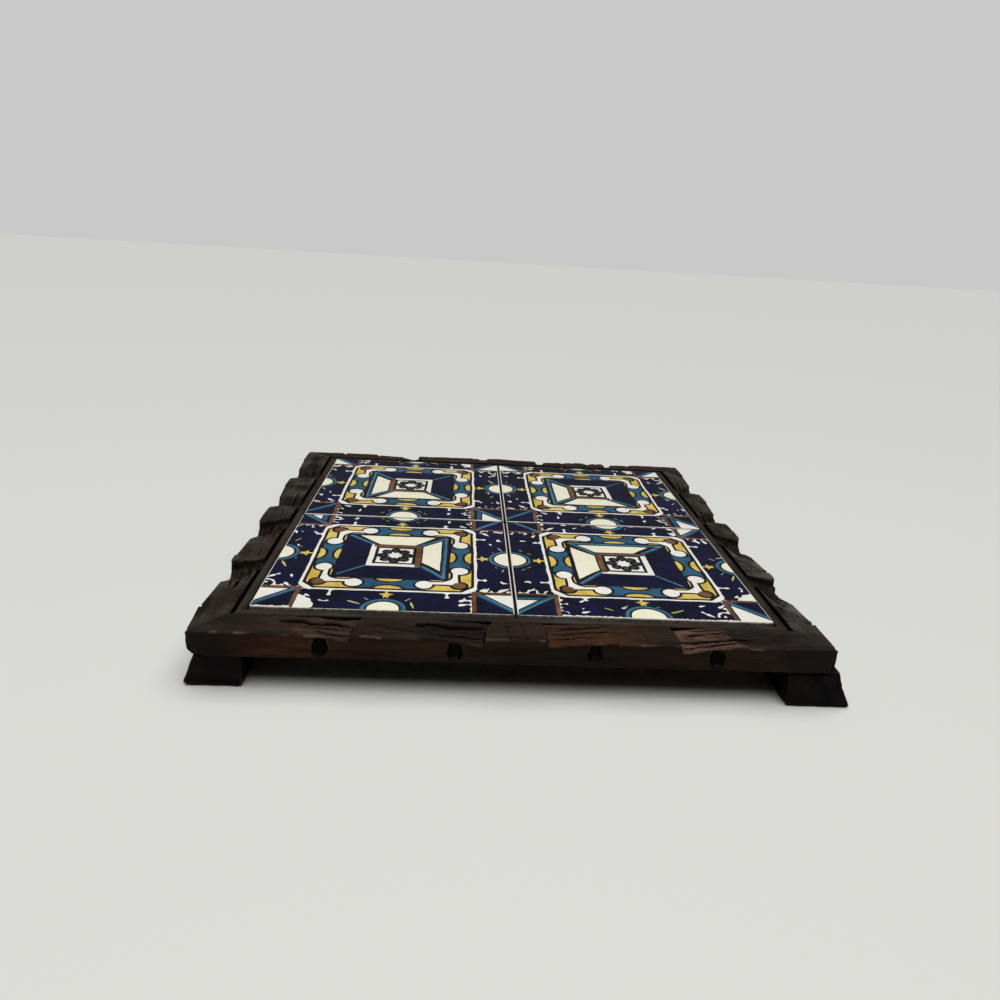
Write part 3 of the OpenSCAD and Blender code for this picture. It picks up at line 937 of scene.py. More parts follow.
def layRailMap(mesh, count, points):
    # the rail laid out flat as two long strips, as a map for its colours
    layer = mesh.uv_layers.new(name="OFBake")
    half = count // 2
    for face in mesh.polygons:
        corners = [mesh.loops[i].vertex_index for i in face.loop_indices]
        inGrid = [c for c in corners if c < count * points]
        strip = int(min(c // points for c in inGrid) >= half)
        wraps = {c % points for c in inGrid} >= {0, points - 1}
        for i, c in zip(face.loop_indices, corners):
            station, p = divmod(c, points)
            if station >= count:    # the middle of an end
                station = (0, count - 1)[c - count * points]
                across = (station - strip * half) / (count - half) * 0.9 + 0.05
                layer.uv[i].vector = (across, (0.5 + strip) * 0.47 + 0.02)
                continue
            if wraps and p == 0:
                p = points
            across = (station - strip * half) / (count - half) * 0.96 + 0.02
            layer.uv[i].vector = (across, p / points * 0.46 + 0.02 + strip * 0.5)


for number, railName in enumerate(["rail_front", "rail_right", "rail_back", "rail_left"]):
    makeRail(railName, number)

print("liners and feet")

softenLook = {
    "liner": {
        "voxel": 0.5, "soften": 1, "hills": 0.08, "size": 5.0, "dusty": 0.6,
        "wood": "linerWood", "slot": "liner_wood",
    },
    "foot": {
        "voxel": 0.42, "soften": 2, "hills": 0.16, "size": 4.5, "dusty": 0.4,
        "wood": "footWood", "slot": "foot_wood",
    },
}


def softened(node, name, look, seed, alongY):
    # a copy of the CAD piece with its edges worn round and its faces cut by hand
    source = newObject("source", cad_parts[node].data.copy())
    builder = bmesh.new()
    builder.from_mesh(source.data)
    bmesh.ops.remove_doubles(builder, verts=builder.verts, dist=0.002 * mm)
    builder.to_mesh(source.data)
    builder.free()
    voxels = source.modifiers.new("voxels", "REMESH")
    voxels.mode, voxels.voxel_size = "VOXEL", look["voxel"] * mm
    smooth = source.modifiers.new("smooth", "SMOOTH")
    smooth.iterations, smooth.factor = look["soften"], 0.5
    evaluated = source.evaluated_get(bpy.context.evaluated_depsgraph_get())
    mesh = bpy.data.meshes.new_from_object(evaluated)
    mesh.name = name
    mesh.materials.clear()
    bpy.data.objects.remove(source)
    if "custom_normal" in mesh.attributes:
        mesh.attributes.remove(mesh.attributes["custom_normal"])

    places = readFrom(mesh.vertices, "co", 3) / mm
    x, y, z = places.T
    hills = softNoise((x + z) / look["size"], (y - z) / look["size"], seed)
    fine = softNoise(x / 1.2 + z, y / 1.2 - z * 0.7, seed + 9)
    lift = look["hills"] * (hills - 0.1) + 0.03 * fine
    low, high = sizeOf(node)
    places = places + readFrom(mesh.vertices, "normal", 3) * lift[:, None]
    places = np.clip(places, low, high)
    mesh.vertices.foreach_set("co", (places * mm).ravel())
    mesh.update()
    smoothFaces(mesh)

    proud = edgeMasks(mesh)
    x, y, _ = places.T
    # painted shade in the creases
    hollow = masked(-proud, 0.012, 26)
    if node.startswith("liner_"):    # painted shade where it meets the groove and the tiles
        across = np.abs(x if alongY else y)
        beside = 0.2 if node == "liner_front" else 0.8
        hollow = np.maximum(hollow, rise(across, high.max() - 0.7, high.max() - 0.3))
        tiles = rise(across, openingHalf - 4.7, openingHalf - 4.1)
        hollow = np.maximum(hollow, beside * (1 - tiles))
    storeOn(
        mesh,
        woodPlace=((places[:, [1, 0, 2]] if alongY else places) + seed * 13.7) * mm,
        wear=masked(proud, 0.012, 26),
        hollow=hollow,
        dusty=np.full(len(places), look["dusty"]),
        freshCut=0.4 * rise(softNoise(x / 9, y / 9, seed + 3), 0.1, 0.8),
        warm=0.35 * rise(softNoise(x / 14, y / 14, seed + 5), 0.1, 0.9),
    )
    mesh.materials.append(woods[look["wood"]])
    link(name, mesh, [node])


for number, side in enumerate(["front", "right", "back", "left"]):
    name = "liner_" + side
    softened(name, name + "_worn", softenLook["liner"], 3 + number, number % 2 == 1)

for number, place in enumerate(["front_left", "front_right", "back_right", "back_left"]):
    name = "foot_" + place
    softened(name, name + "_cut", softenLook["foot"], 23 + number, number % 2 == 1)

print("tiles")

tileLook = {
    "rim": 0.55,          # radius of the rounded rim
    "paintEdge": 0.5,     # bare white left round the painting
    "frontMore": 0.3,     # how much less of it is left along the trivet's front
    "paintDepth": 0.2,    # whole thickness of the painted layers
    "levels": 12.8,       # layers in that thickness
    "sunk": 0.16,         # how far a layer's underside lies inside the tile
    "topLevel": 13,       # a lower layer stays further back, so that no two
    "stepBack": 0.01,     # sides lie in one plane
    "corner": 1.2,
}


def makeTileBody(node):
    low, high = sizeOf(node)
    middle, half = (low + high) / 2, (high - low)[0] / 2
    topZ = high[2] - tileLook["paintDepth"]
    rim, corner = tileLook["rim"], tileLook["corner"]
    rings = [(0.6, low[2]), (0.15, low[2] + 0.3), (0.0, low[2] + 1.0), (0.0, topZ - rim)]
    for a in np.linspace(0, math.pi / 2, 8)[1:]:
        rings.append((rim * (1 - math.cos(a)), topZ - rim + rim * math.sin(a)))
    rings += [(rim + 0.6, topZ), (6.0, topZ)]
    arc, run = np.linspace(0, math.pi / 2, 10), np.linspace(0, 1, 14)[1:-1]
    around = 4 * (len(arc) + len(run))
    places, faces = [], []
    for inset, z in rings:
        side, radius = half - inset, max(corner - inset * 0.5, 0.3)
        flat = side - radius
        line = [(flat + radius * math.cos(a), flat + radius * math.sin(a)) for a in arc]
        line += [(flat - t * 2 * flat, side) for t in run]
        for quarter in range(4):
            for x, y in line:
                wave = 0.07 * softNoise(x / 8 + quarter * 9, y / 8, 5) * (inset < 3)
                x, y = quarterTurn([(x - wave, y - wave)], quarter)[0]
                places.append(((middle[0] + x) * mm, (middle[1] + y) * mm, z * mm))
    for r in range(0, (len(rings) - 1) * around, around):
        for k in range(around):
            n = (k + 1) % around
            faces.append((r + k, r + n, r + around + n, r + around + k))
    faces.append(tuple(reversed(range(around))))
    faces.append(tuple(range(len(places) - around, len(places))))
    mesh = bpy.data.meshes.new(node + "_body")
    mesh.from_pydata(places, [], faces)
    turnOutwards(mesh)
    for face in mesh.polygons:
        face.use_smooth = len(face.vertices) == 4
    mesh.materials.append(tileEdge)
    return mesh, middle, topZ, half


# Petals, rays, leaves and flecks are one small flat shape, set on points that
# carry their direction and size
def makePetalTree():
    tree = bpy.data.node_groups.new("petalsOnPoints", "GeometryNodeTree")
    for name, kind, value in (
        ("Geometry", "Geometry", None), ("Length", "Float", 3 * mm), ("Width", "Float", 2 * mm),
        ("Taper", "Float", 0.3), ("Unevenness", "Float", 0.1), ("Seed", "Int", 1),
        ("Material", "Material", None),
    ):
        kind = "NodeSocket" + kind
        made = tree.interface.new_socket(name=name, in_out="INPUT", socket_type=kind)
        if value is not None:
            made.default_value = value
    tree.interface.new_socket(name="Geometry", in_out="OUTPUT", socket_type="NodeSocketGeometry")
    given = tree.nodes.new("NodeGroupInput").outputs

    circle = addNode(tree, "GeometryNodeCurvePrimitiveCircle", {"Resolution": 22, "Radius": 1.0})
    where = addNode(tree, "GeometryNodeInputPosition").outputs[0]
    split = addNode(tree, "ShaderNodeSeparateXYZ", {0: where}).outputs
    taper = plus(tree, times(tree, split["X"], given["Taper"]), 1.0)
    breadth = times(tree, taper, times(tree, given["Width"], 0.5))
    shaped = addNode(tree, "ShaderNodeCombineXYZ", {
        "X": times(tree, split["X"], times(tree, given["Length"], 0.5)),
        "Y": times(tree, split["Y"], breadth),
    })
    moved = addNode(tree, "GeometryNodeSetPosition", {
        "Geometry": circle.outputs["Curve"], "Position": shaped.outputs[0],
    })
    filled = addNode(tree, "GeometryNodeFillCurve", {"Curve": moved.outputs[0]}, mode="NGONS")

    stored = "GeometryNodeInputNamedAttribute"
    way = addNode(tree, stored, {"Name": "way"}, data_type="FLOAT_VECTOR").outputs["Attribute"]
    size = addNode(tree, stored, {"Name": "size"}, data_type="FLOAT").outputs["Attribute"]
    aligned = addNode(
        tree, "FunctionNodeAlignEulerToVector", {"Vector": way}, axis="X", pivot_axis="Z")
    uneven = addNode(tree, "FunctionNodeRandomValue", {
        2: sums(tree, "SUBTRACT", 1.0, given["Unevenness"]),
        3: plus(tree, 1.0, given["Unevenness"]), "Seed": given["Seed"],
    }, data_type="FLOAT")
    scale = times(tree, size, uneven.outputs[1])
    scaleBy = addNode(tree, "ShaderNodeCombineXYZ", {"X": scale, "Y": scale, "Z": 1.0})
    placed = addNode(tree, "GeometryNodeInstanceOnPoints", {
        "Points": given["Geometry"], "Instance": filled.outputs[0],
        "Rotation": aligned.outputs[0], "Scale": scaleBy.outputs[0],
    })
    real = addNode(tree, "GeometryNodeRealizeInstances", {0: placed.outputs[0]})
    glazed = addNode(tree, "GeometryNodeSetMaterial", {
        "Geometry": real.outputs[0], "Material": given["Material"],
    })
    feed(tree, tree.nodes.new("NodeGroupOutput"), {0: glazed.outputs[0]})
    return tree


petalTree = makePetalTree()


def petalsAt(spots, values):
    # each spot is its x and y in mm, its direction in degrees and its size as a share
    x, y, degrees, size = np.array(spots, float).T
    host = bpy.data.meshes.new("spots")
    host.from_pydata((np.stack([x, y, 0 * x], axis=1) * mm).tolist(), [], [])
    angle = np.radians(degrees)
    storeOn(host, way=np.stack([np.cos(angle), np.sin(angle), 0 * x], axis=1), size=size)
    holder = newObject("spots", host)
    modifier = holder.modifiers.new("petals", "NODES")
    modifier.node_group = petalTree
    for item in petalTree.interface.items_tree:
        if item.in_out == "INPUT" and item.name in values:
            modifier[item.identifier] = values[item.name]
    evaluated = holder.evaluated_get(bpy.context.evaluated_depsgraph_get())
    mesh = bpy.data.meshes.new_from_object(evaluated)
    bpy.data.objects.remove(holder)
    return mesh


print("tile painting")

paintLook = {
    "outline": 1.25,
    "octagon": 38.6, "chamfer": 5.5, "blackOctagon": 37.35, "blackChamfer": 5.3,
    "yellowOctagon": 36.0, "yellowChamfer": 4.85,
    "pyramid": 25.4, "bandMiddle": 30.9, "discAt": 15.4, "discRadius": 3.75, "knobRadius": 2.9,
    "spoolHalf": 4.5, "spoolEnd": 13.4, "spoolNeck": 1.0, "lensHalf": 7.3,
    "innerSquare": 12.5, "innerBorder": 2.6, "innerLine": 1.5, "flowerRing": 5.75,
    "block": 38.4, "bar": 1.8, "fringe": 3.4, "wobble": 0.24,
    "sunAt": 55.0, "suns": [(7.6, 10.2), (7.2, 9.5), (7.4, 10.1), (6.5, 9.3)],    # sun and ring
    "beyond": 58,    # past the tile's edge, where what reaches over it is cut off
}


class Painting:
    # outlines laid on a tile, each with its glaze and its level, in mm from the tile's middle
    def __init__(self, seed, chipped):
        self.seed, self.chipped, self.shapes, self.petalSets = seed, chipped, [], []

    def lay(self, glaze, level, points):
        self.shapes.append((glaze, level, np.array(points, float)))

    def stroke(self, glaze, level, path, width):
        way = np.gradient(path, axis=0)
        way /= np.maximum(np.linalg.norm(way, axis=1), 1e-6)[:, None]
        side = np.stack([-way[:, 1], way[:, 0]], axis=1) * width / 2
        self.lay(glaze, level, np.concatenate([path - side, (path + side)[::-1]]))

    def petals(self, glaze, level, spots, length, width, taper, unevenness):
        values = {
            "Length": length * mm, "Width": width * mm, "Taper": taper,
            "Unevenness": unevenness, "Seed": self.seed, "Material": glazes[glaze],
        }
        self.petalSets.append((glaze, level, petalsAt(spots, values)))


def finePath(points, step=1.2, closed=True):
    points = [np.array(p, float) for p in points]
    ends = points[1:] + points[:1] if closed else points[1:]
    made = []
    for a, b in zip(points, ends):
        cuts = max(1, int(math.ceil(np.linalg.norm(b - a) / step)))
        made += [a + (b - a) * k / cuts for k in range(cuts)]
    return np.array(made if closed else made + [points[-1]])


def disc(x, y, radius, count=40, squash=1.0):
    angles = np.arange(count) * 2 * math.pi / count
    return [(x + radius * math.cos(a), y + radius * squash * math.sin(a)) for a in angles]


def grown(points, by):
    # an outline moved outwards, for outlines that run anticlockwise
    before, after = np.roll(points, 1, axis=0), np.roll(points, -1, axis=0)
    first, second = points - before, after - points
    first /= np.maximum(np.linalg.norm(first, axis=1), 1e-6)[:, None]
    second /= np.maximum(np.linalg.norm(second, axis=1), 1e-6)[:, None]
    normal = np.stack([first[:, 1] + second[:, 1], -first[:, 0] - second[:, 0]], axis=1)
    length = np.linalg.norm(normal, axis=1)
    normal /= np.maximum(length, 1e-6)[:, None]
    return points + normal * (by / np.maximum(length / 2, 0.5))[:, None]


def curved(points, closed=False, cuts=6):
    # a smooth line through a few points
    points = [np.array(p, float) for p in points]
    padded = points[-1:] + points + points[:2] if closed else points[:1] + points + points[-1:]
    made = []
    for p0, p1, p2, p3 in zip(padded, padded[1:], padded[2:], padded[3:]):
        for t in np.arange(cuts) / cuts:
            bend = (2 * p0 - 5 * p1 + 4 * p2 - p3) * t * t + (3 * p1 - p0 - 3 * p2 + p3) * t ** 3
            made.append(0.5 * (2 * p1 + (p2 - p0) * t + bend))
    return made if closed else made + [points[-1]]


def quarterTurn(points, quarters):
    c, s = round(math.cos(quarters * math.pi / 2)), round(math.sin(quarters * math.pi / 2))
    return [(x * c - y * s, x * s + y * c) for x, y in points]


def octagon(half, chamfer):
    a = half - chamfer
    side = [(half, -a), (half, a)]
    return [point for quarter in range(4) for point in quarterTurn(side, quarter)]


def square(half):
    return [(half, -half), (half, half), (-half, half), (-half, -half)]


# White flecks in the navy, each from its thick end to its tip
whiteFlecks = [
    (-43.2, 27.4, -41, 25), (-41.4, 25.2, -38.8, 24), (-49.6, 27.2, -48.6, 26.2),
    (-52.8, 27.6, -51.6, 24), (-48.2, -24, -50.4, -25.6), (-50.2, -25.6, -53.2, -28.4),
    (-43.4, -24.4, -42.4, -27.4), (-44.4, -33, -42, -36.4), (-53, -30.2, -50, -31),
    (-50.4, -30.8, -48.4, -33.4), (-47.6, 10, -46.6, 7.6), (42.4, 33.2, 45.4, 29.6),
    (49, 36.4, 52.4, 34), (49.4, 24.8, 51.6, 22.4), (49.6, 22.4, 50.4, 25.4),
    (49.8, -26.6, 52.4, -27.2), (49.4, -25.2, 50.6, -27.8), (41.6, -36.4, 44, -32.4),
    (40.2, -35.6, 42.4, -32.8), (48.4, -35.2, 52.8, -32.4), (51.6, -36, 53, -34.6),
    (-25.6, 47.4, -23.2, 48.2), (-24.3, 49.8, -24.4, 46.8), (22, 42.4, 24, 41),
    (24.5, 49.2, 24.4, 45.8), (30.2, 42.4, 33.8, 40.8), (-27.2, -48.6, -25, -49.6),
    (-23, -48.8, -25.2, -49.8), (31, -46.2, 34.8, -44.2), (30.8, -49.8, 35.2, -48.4),
    (-33.6, -43.6, -31.4, -45.6), (33.6, 46.6, 35.6, 44.6), (-33.4, 47.4, -31.2, 46),
    (45.4, 19.2, 46.4, 17),
]
# Lemon rays round the four half suns
lemonRays = [
    (-47.8, 17.6, -50.2, 14), (-50.8, -10.4, -47.6, -16.6), (49.4, 14.4, 51.6, 10),
    (51, -11.6, 50.4, -15), (-15.4, -48.4, -9.6, -51), (-9, -45.4, -6.8, -47.2),
    (8.2, -47.4, 10.6, -44.6), (10.8, -48.4, 12.4, -54), (-9.4, 47.6, -7.4, 45.4),
    (8.8, 46.8, 7.2, 44.6), (-12.2, 50.4, -10.2, 48.4), (12.6, 50.6, 10.6, 48.8), (-46, 8.6, -45, 6.8),
    (46.6, 8.4, 47.8, 7), (-45.2, -5.4, -45.8, -7.2), (47.4, -9.2, 48.2, -10.6),
]


def fleckSpots(flecks, usual):
    spots = []
    for x0, y0, x1, y1 in flecks:
        way = math.degrees(math.atan2(y0 - y1, x0 - x1))
        spots.append(((x0 + x1) / 2, (y0 + y1) / 2, way, math.hypot(x1 - x0, y1 - y0) / usual))
    return spots


def paintFringe(p, sx, sy, flip, draw):
    # white torn edge beside a bar, with navy leaves hanging in it
    look = paintLook
    block, beyond = look["block"], look["beyond"]
    start = block - look["bar"]
    edge, y = [], beyond - 0.5
    while y > block:
        edge.append((start - look["fringe"] * draw.uniform(0.25, 1.15), y))
        y -= draw.uniform(0.9, 2.0)
    edge = [(start - 1, beyond)] + edge + [(start - 0.2, block - 0.6)]
    torn = [(start, block - 0.5), (start, beyond)] + curved(edge, cuts=3)

    def place(x, y):
        return (sx * y, sy * x) if flip else (sx * x, sy * y)

    p.lay("white", 2, [place(x, y) for x, y in torn])
    spots = []
    for k in range(5):
        x, y = start - draw.uniform(1.4, 2.8), block + 1.2 + 3.7 * k
        skew, size = math.radians(draw.uniform(-50, 50)), draw.uniform(0.8, 1.25)
        x0, y0 = place(x, y)
        x1, y1 = place(x + math.cos(skew), y + math.sin(skew))
        spots.append((x0, y0, math.degrees(math.atan2(y1 - y0, x1 - x0)), size))
    p.petals("navy", 2.6, spots, length=4.4, width=2.9, taper=0.4, unevenness=0.1)


def paintBlocks(p):
    # navy blocks in the corners, each with a ray to the tile's corner and two brown bars
    b, bar, beyond = paintLook["block"], paintLook["bar"], paintLook["beyond"]
    draw = random.Random(7)

    def line(*points):
        return finePath(points, closed=False)

    for sx, sy in ((1, -1), (1, 1), (-1, 1), (-1, -1)):
        for flip in (False, True):
            paintFringe(p, sx, sy, flip, draw)
        corners = ((b, b), (beyond, b), (beyond, beyond), (b, beyond))
        p.lay("navy", 3.6, [(sx * x, sy * y) for x, y in corners])
        if sy < 0:
            corners = ((b + 2.4, b + 0.7), (beyond, b + 0.7), (beyond, 55.4))
            p.lay("white", 4.1, [(sx * x, -y) for x, y in corners])
        elif sx < 0:
            p.lay("white", 4.1, [(-b - 4.6, 45.0), (-b - 4.6, beyond), (-55.0, beyond)])
            p.stroke("black", 4.4, line((-b - 3.0, 42.6), (-b - 3.0, beyond)), 3.4)
            p.stroke("blue", 4.8, line((-b - 2.9, 41.8), (-b - 2.9, beyond)), 2.2)
        ray = line((sx * (b + 0.4), sy * (b + 0.4)), (sx * beyond, sy * beyond))
        p.stroke("black", 5.2, ray, 3.7)
        p.stroke("blue", 5.6, ray, 2.3)
        p.stroke("sky", 6.0, ray + np.array([sx * 0.3, -sy * 0.3]), 0.4)
        across, along = b - bar / 2, b - bar
        for number, path in enumerate((
            ((across, along), (across, beyond)), ((along, across), (beyond, across)),
        )):
            run = line(*((sx * x, sy * y) for x, y in path))
            p.stroke("black", 6.3, run, bar + 0.35)
            p.stroke("brown", 7.0 - 0.3 * number, run, bar)
    patch = [(-36.6, -44.6), (-34.6, -45.0), (-32.8, -46.6), (-30.6, -48.0), (-30.0, -50.4),
             (-28.8, -52.2), (-29.4, -56), (-36.8, -56)]
    p.lay("white", 3.1, curved(patch, True, 3))


def paintSuns(p):
    # half suns in their rings, a yellow star before each, rays, flecks and drips
    star = [(37.8, -1.0), (39.6, -0.5), (40.7, -1.0), (41.4, -3.0), (42.6, -1.2), (44.6, -1.1),
            (43.9, 0.0), (44.7, 1.2), (42.7, 1.2), (41.3, 3.1), (40.7, 1.0), (39.6, 0.5),
            (37.8, 1.0)]
    at = paintLook["sunAt"]
    for quarter, (sun, ring) in enumerate(paintLook["suns"]):
        for glaze, level, points in (
            ("black", 3.0, disc(at, 0, ring + 0.7)),
            ("blue", 3.5, disc(at, 0, ring)),
            ("sky", 3.9, disc(at, 0.2, ring - 0.65)),
            ("blue", 4.3, disc(at, 0.2, ring - 0.9)),
            ("black", 4.7, disc(at, 0, sun + 0.9)),
            ("cream", 5.1, disc(at, 0, sun)),
            ("black", 2.5, disc(41.6, 0, 3.6)),
            ("yellow", 3.4, curved(star, True, 3)),
        ):
            p.lay(glaze, level, quarterTurn(points, quarter))
    usual = {"taper": 0.3, "unevenness": 0.0}
    p.petals("lemon", 2.8, fleckSpots(lemonRays, 4.2), length=4.2, width=0.65, **usual)
    usual["taper"] = 0.75
    p.petals("white", 3.3, fleckSpots(whiteFlecks, 3.6), length=3.9, width=1.25, **usual)
    drips = [(-24.6, 1, 4.6, 0.8), (22.8, 1, 3.2, 1.1), (-23.9, -1, 5.8, 0.9), (25.7, -1, 5.4, 1.1)]
    sideDrips = [(24.3, 1, 5.4, 0.9), (-24.3, 1, 4.9, 1.2), (24.4, -1, 3.4, 0.9)]
    top = paintLook["block"]
    for number, (along, sign, long, bulb) in enumerate(drips + sideDrips):
        waist, belly = top + long * 0.55, top + 0.2 + long * 0.8
        shape = [(-2.2, top), (-0.7, top + 1), (-0.45, waist), (-bulb, belly), (0, top + long),
                 (bulb, belly), (0.4, waist), (0.8, top + 1), (2.4, top)]
        shape = curved([(along + x, sign * y) for x, y in shape], True, 3)
        if number >= len(drips):
            shape = [(y, x) for x, y in shape]
        p.lay("white", 3.7, shape)


def paintBand(p):
    # white eight sided band, black line, yellow field, spools, straps, knobs and discs
    look = paintLook
    line, m = look["outline"], look["bandMiddle"]
    ragged = finePath(octagon(look["octagon"], look["chamfer"]), 1.6)
    swell = 0.32 * softNoise(ragged[:, 0] / 3.3, ragged[:, 1] / 3.3, 61) + 0.08
    p.lay("white", 4.6, ragged * (1 + swell / np.linalg.norm(ragged, axis=1))[:, None])
    bulge = [(37.8, 30.6), (38.9, 33.0), (38.0, 35.1), (36.8, 36.9), (35.2, 38.1), (33.0, 38.9),
             (30.6, 37.8)]
    for quarter in range(4):
        p.lay("white", 4.2, quarterTurn(bulge, quarter))
    p.lay("black", 5.4, octagon(look["blackOctagon"], look["blackChamfer"]))
    p.lay("yellow", 6.2, octagon(look["yellowOctagon"], look["yellowChamfer"]))

    neck, lens, end = look["spoolNeck"], look["lensHalf"], look["spoolEnd"]
    low, high = m - look["spoolHalf"], m + look["spoolHalf"]
    half = [(-lens - 0.6, low), (-lens + 0.4, low + 0.5), (-lens + 2.0, m - neck - 1.2),
            (-2.2, m - neck - 0.2)]
    inner = half + [(0, m - neck)] + [(-x, y) for x, y in reversed(half)]
    lower = [tuple(q) for q in curved(inner)]
    upper = [(x, 2 * m - y) for x, y in reversed(lower)]
    spool = [(-end, low)] + lower + [(end, low), (end, high)] + upper + [(-end, high)]
    strap = [(30.1, 17.0), (30.2, 24.0), (30.6, 30.6), (24.0, 30.2), (17.0, 30.1), (17.0, 28.2),
             (23.4, 28.0), (25.4, 27.0), (27.0, 25.4), (28.0, 23.4), (28.2, 17.0)]
    at, radius, knob = look["discAt"], look["discRadius"], look["knobRadius"]
    for quarter in range(4):
        shape = finePath(quarterTurn(spool, quarter), 0.9)
        p.lay("black", 6.8, grown(shape, line))
        p.lay("blue", 7.3, shape)
        band = finePath(quarterTurn(strap, quarter), 0.9)
        x, y = quarterTurn([(m, m)], quarter)[0]
        p.lay("black", 7.6, grown(band, line))
        p.lay("black", 7.8, disc(x, y, knob + line))
        p.lay("white", 8.2, band)
        p.lay("brown", 8.6, disc(x, y, knob))
        for x, y in quarterTurn([(at, m), (m, at)], quarter):
            p.lay("black", 7.9, disc(x, y, radius + line))
            p.lay("white", 8.4, disc(x, y, radius))


def paintPyramid(p):
    # black ground, two navy and two cream slopes, blue ridges, and the flower in the middle
    look = paintLook
    s, n, w = look["pyramid"], look["innerSquare"], look["innerBorder"]
    foot = s - 0.3
    p.lay("black", 9.0, square(s + 0.85))
    p.lay("navy", 9.4, [(-foot, -foot), (foot, -foot), (n, -n), (-n, -n)])
    p.lay("navy", 9.5, [(-foot, s - 0.9), (-foot, -foot), (-n, -n), (-n, n)])
    p.lay("cream", 9.5, [(-19.4, 24.2), (-8.4, 13.2), (8.6, 13.2), (18.2, 24.2)])
    p.lay("cream", 9.5, [(21.7, 20.0), (13.1, 12.0), (13.1, -7.2), (21.7, -16.2)])
    ridges = [
        ([(-24.6, 24.4), (-10.6, 12.2)], 2.0), ([(24.2, 24.2), (10.4, 12.4)], 2.1),
        ([(-24.0, -22.8), (-12.8, -12.4)], 1.4), ([(24.2, -24.4), (12.8, -11.4)], 2.2),
        ([(23.6, 23.4), (23.6, -23.0)], 2.0),
    ]
    for number, (path, width) in enumerate(ridges):
        run = finePath(path, closed=False)
        p.stroke("blue", 9.8 + 0.12 * number, run, width)
        p.stroke("sky", 10.4, run + np.array([0.2, 0.25]), width * 0.22)
    hook = [(n - w, -n + 0.1), (n, -n + 0.1), (n, n), (-n + 1.4, n), (-n + 1.4, n - w),
            (n - w, n - w)]
    p.lay("black", 10.7, square(n + 0.3))
    p.lay("white", 11.0, square(n))
    p.lay("brown", 11.3, hook)
    p.lay("black", 11.6, square(n - w))
    p.lay("white", 11.9, square(n - w - look["innerLine"]))
    ring = disc(0, 0, look["flowerRing"], 8)
    spots = [(x, y, number * 45.0, 1.0) for number, (x, y) in enumerate(ring)]
    p.petals("black", 12.15, spots, length=5.9, width=4.95, taper=0.25, unevenness=0.06)
    p.petals("grey", 12.5, spots, length=3.2, width=2.3, taper=0.3, unevenness=0.12)


def paintTile(seed, chipped):
    p = Painting(seed, chipped)
    p.lay("navy", 1.2, square(paintLook["beyond"]))
    for paint in (paintBlocks, paintSuns, paintBand, paintPyramid):
        paint(p)
    return p


def wobbled(points, seed):
    # the brush strays by this much over 9 mm, and by a third of it over 2.2 mm
    x, y = points.T
    strays = [
        softNoise(x / 9, y / 9, own) + 0.3 * softNoise(x / 2.2, y / 2.2, own + 1)
        for own in (seed, seed + 2)
    ]
    return points + paintLook["wobble"] * np.stack(strays, axis=1)


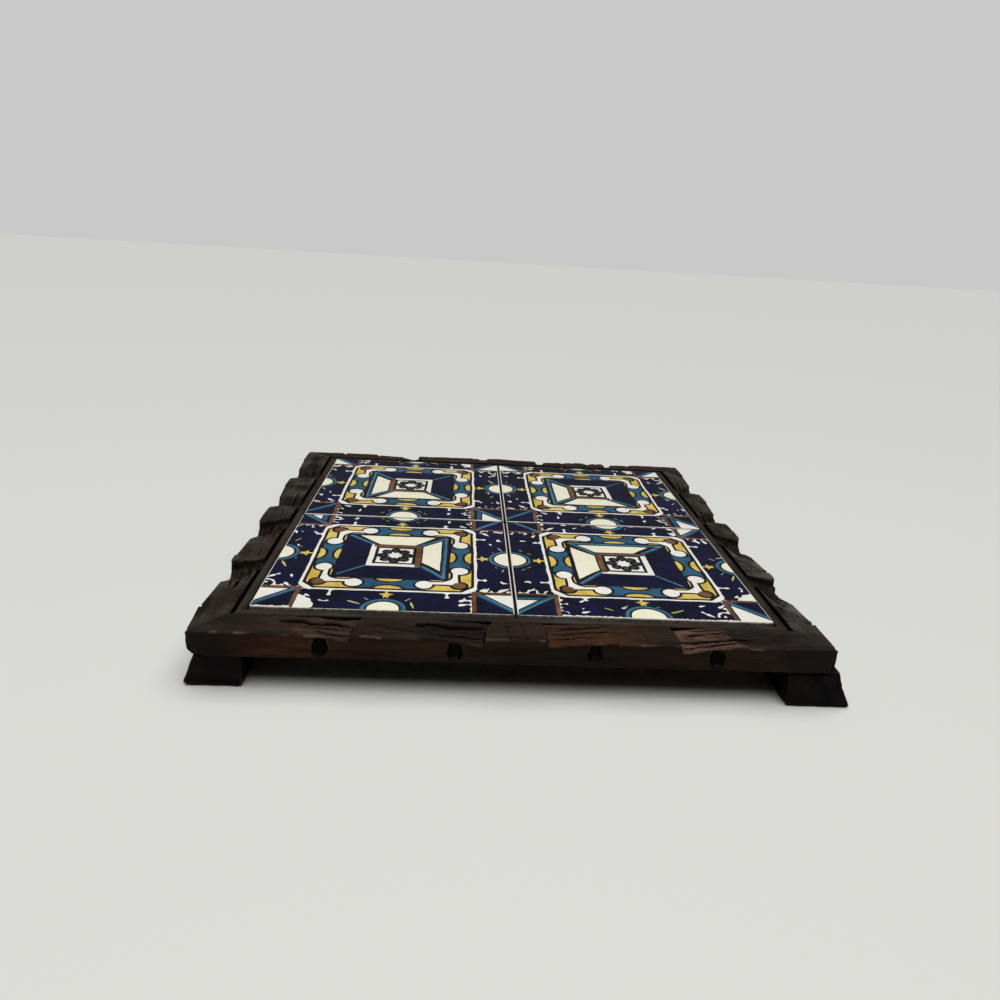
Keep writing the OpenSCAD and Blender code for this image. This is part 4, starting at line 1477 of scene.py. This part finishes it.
def makePaintMesh(name, painting, middle, topZ, quarters, shift, half):
    # every shape becomes a thin closed slab. The map gives each glaze a field of its own
    look = tileLook
    order = sorted(glazes)
    cells = math.ceil(math.sqrt(len(order)))
    places, faces, slots = [], [], []
    shortest, smallest = 0.02, 0.04    # mm and square mm, of what is still made
    limit = half - look["paintEdge"]
    frontMore = look["frontMore"] if middle[1] < 0 else 0

    def addSlab(glaze, level, outline, turned=True):
        outline = wobbled(outline, painting.seed)
        if turned:
            outline = np.array(quarterTurn(outline, quarters)) + shift
        reach = limit + (level - look["topLevel"]) * look["stepBack"]
        outline = np.clip(outline, [-reach, -reach - frontMore], reach)
        steps = np.linalg.norm(outline - np.roll(outline, 1, axis=0), axis=1)
        outline = outline[steps > shortest]
        if len(outline) < 3:
            return
        x, y = outline.T
        area = 0.5 * (x * np.roll(y, -1) - np.roll(x, -1) * y).sum()
        if abs(area) < smallest:
            return
        outline = outline if area > 0 else outline[::-1]
        start, count = len(places), len(outline)
        for z in (topZ - look["sunk"], topZ + level * look["paintDepth"] / look["levels"]):
            places.extend((x, y, z) for x, y in outline)
        low = range(start, start + count)
        rings = [tuple(k + count for k in low), tuple(reversed(low))]
        for k in low:
            n = k + 1 if k + 1 < start + count else start
            rings.append((k, n, n + count, k + count))
        faces.extend(rings)
        slots.extend([order.index(glaze)] * len(rings))

    for glaze, level, outline in painting.shapes:
        addSlab(glaze, level, finePath(outline, 1.3))
    for glaze, level, mesh in painting.petalSets:
        points = readFrom(mesh.vertices, "co", 3)[:, :2] / mm
        for number, petal in enumerate(mesh.polygons):    # neighbours never share a level
            addSlab(glaze, level + 0.12 * (number % 2), points[list(petal.vertices)])
        bpy.data.meshes.remove(mesh)
    draw = random.Random(painting.seed)
    for x in painting.chipped:
        size = draw.uniform(0.35, 1.0)
        y = -limit - frontMore + draw.uniform(0, 0.5)
        chip = np.array(disc(x, y, size, 9, draw.uniform(0.5, 1.1)))
        addSlab("white", 7.0 + 0.4 * draw.random(), chip, False)

    places = np.array(places)
    made = bpy.data.meshes.new(name)
    made.from_pydata(((places + [*middle[:2], 0]) * mm).tolist(), [], faces)
    for glaze in order:
        made.materials.append(glazes[glaze])
    made.polygons.foreach_set("material_index", slots)
    layer = made.uv_layers.new(name="OFBake")
    loops = readFrom(made.loops, "vertex_index", 1, int)
    cell = np.repeat(slots, readFrom(made.polygons, "loop_total", 1, int))
    flat = (places[:, :2] / (2 * half) + 0.5) * 0.96 + 0.02
    spots = (flat[loops] + np.stack([cell % cells, cell // cells], axis=1)) / cells
    layer.uv.foreach_set("vector", spots.astype(np.float32).ravel())
    made.update()
    return made


# Each tile: how often its picture is turned, how far the print sits off the
# middle, and where along its front rim the glaze is chipped
tilePrints = {
    "tile_front_left": (0, (-0.2, 2.3), np.arange(-53, -38, 0.9)),
    "tile_front_right": (1, (1.1, 2.6), np.arange(-34, 53, 0.75)),
    "tile_back_right": (2, (0.2, 3.2), []),
    "tile_back_left": (2, (-0.7, 2.4), []),
}
for number, (node, (quarters, shift, chipped)) in enumerate(tilePrints.items()):
    body, middle, topZ, half = makeTileBody(node)
    link(body.name, body, [node])
    painting = paintTile(51 + number * 17, chipped)
    paint = makePaintMesh(node + "_painting", painting, middle, topZ, quarters, shift, half)
    link(paint.name, paint, [])

print("pieces kept from the CAD")

steel = stocks["nailSteel"]
kept = {"base_board": boardWood, "foot_nails": steel, "corner_brads": steel}
for name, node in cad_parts.items():
    material = stocks["adhesive"] if name.startswith("bed_") else kept.get(name)
    if material:
        for slot in node.material_slots:
            slot.material = material
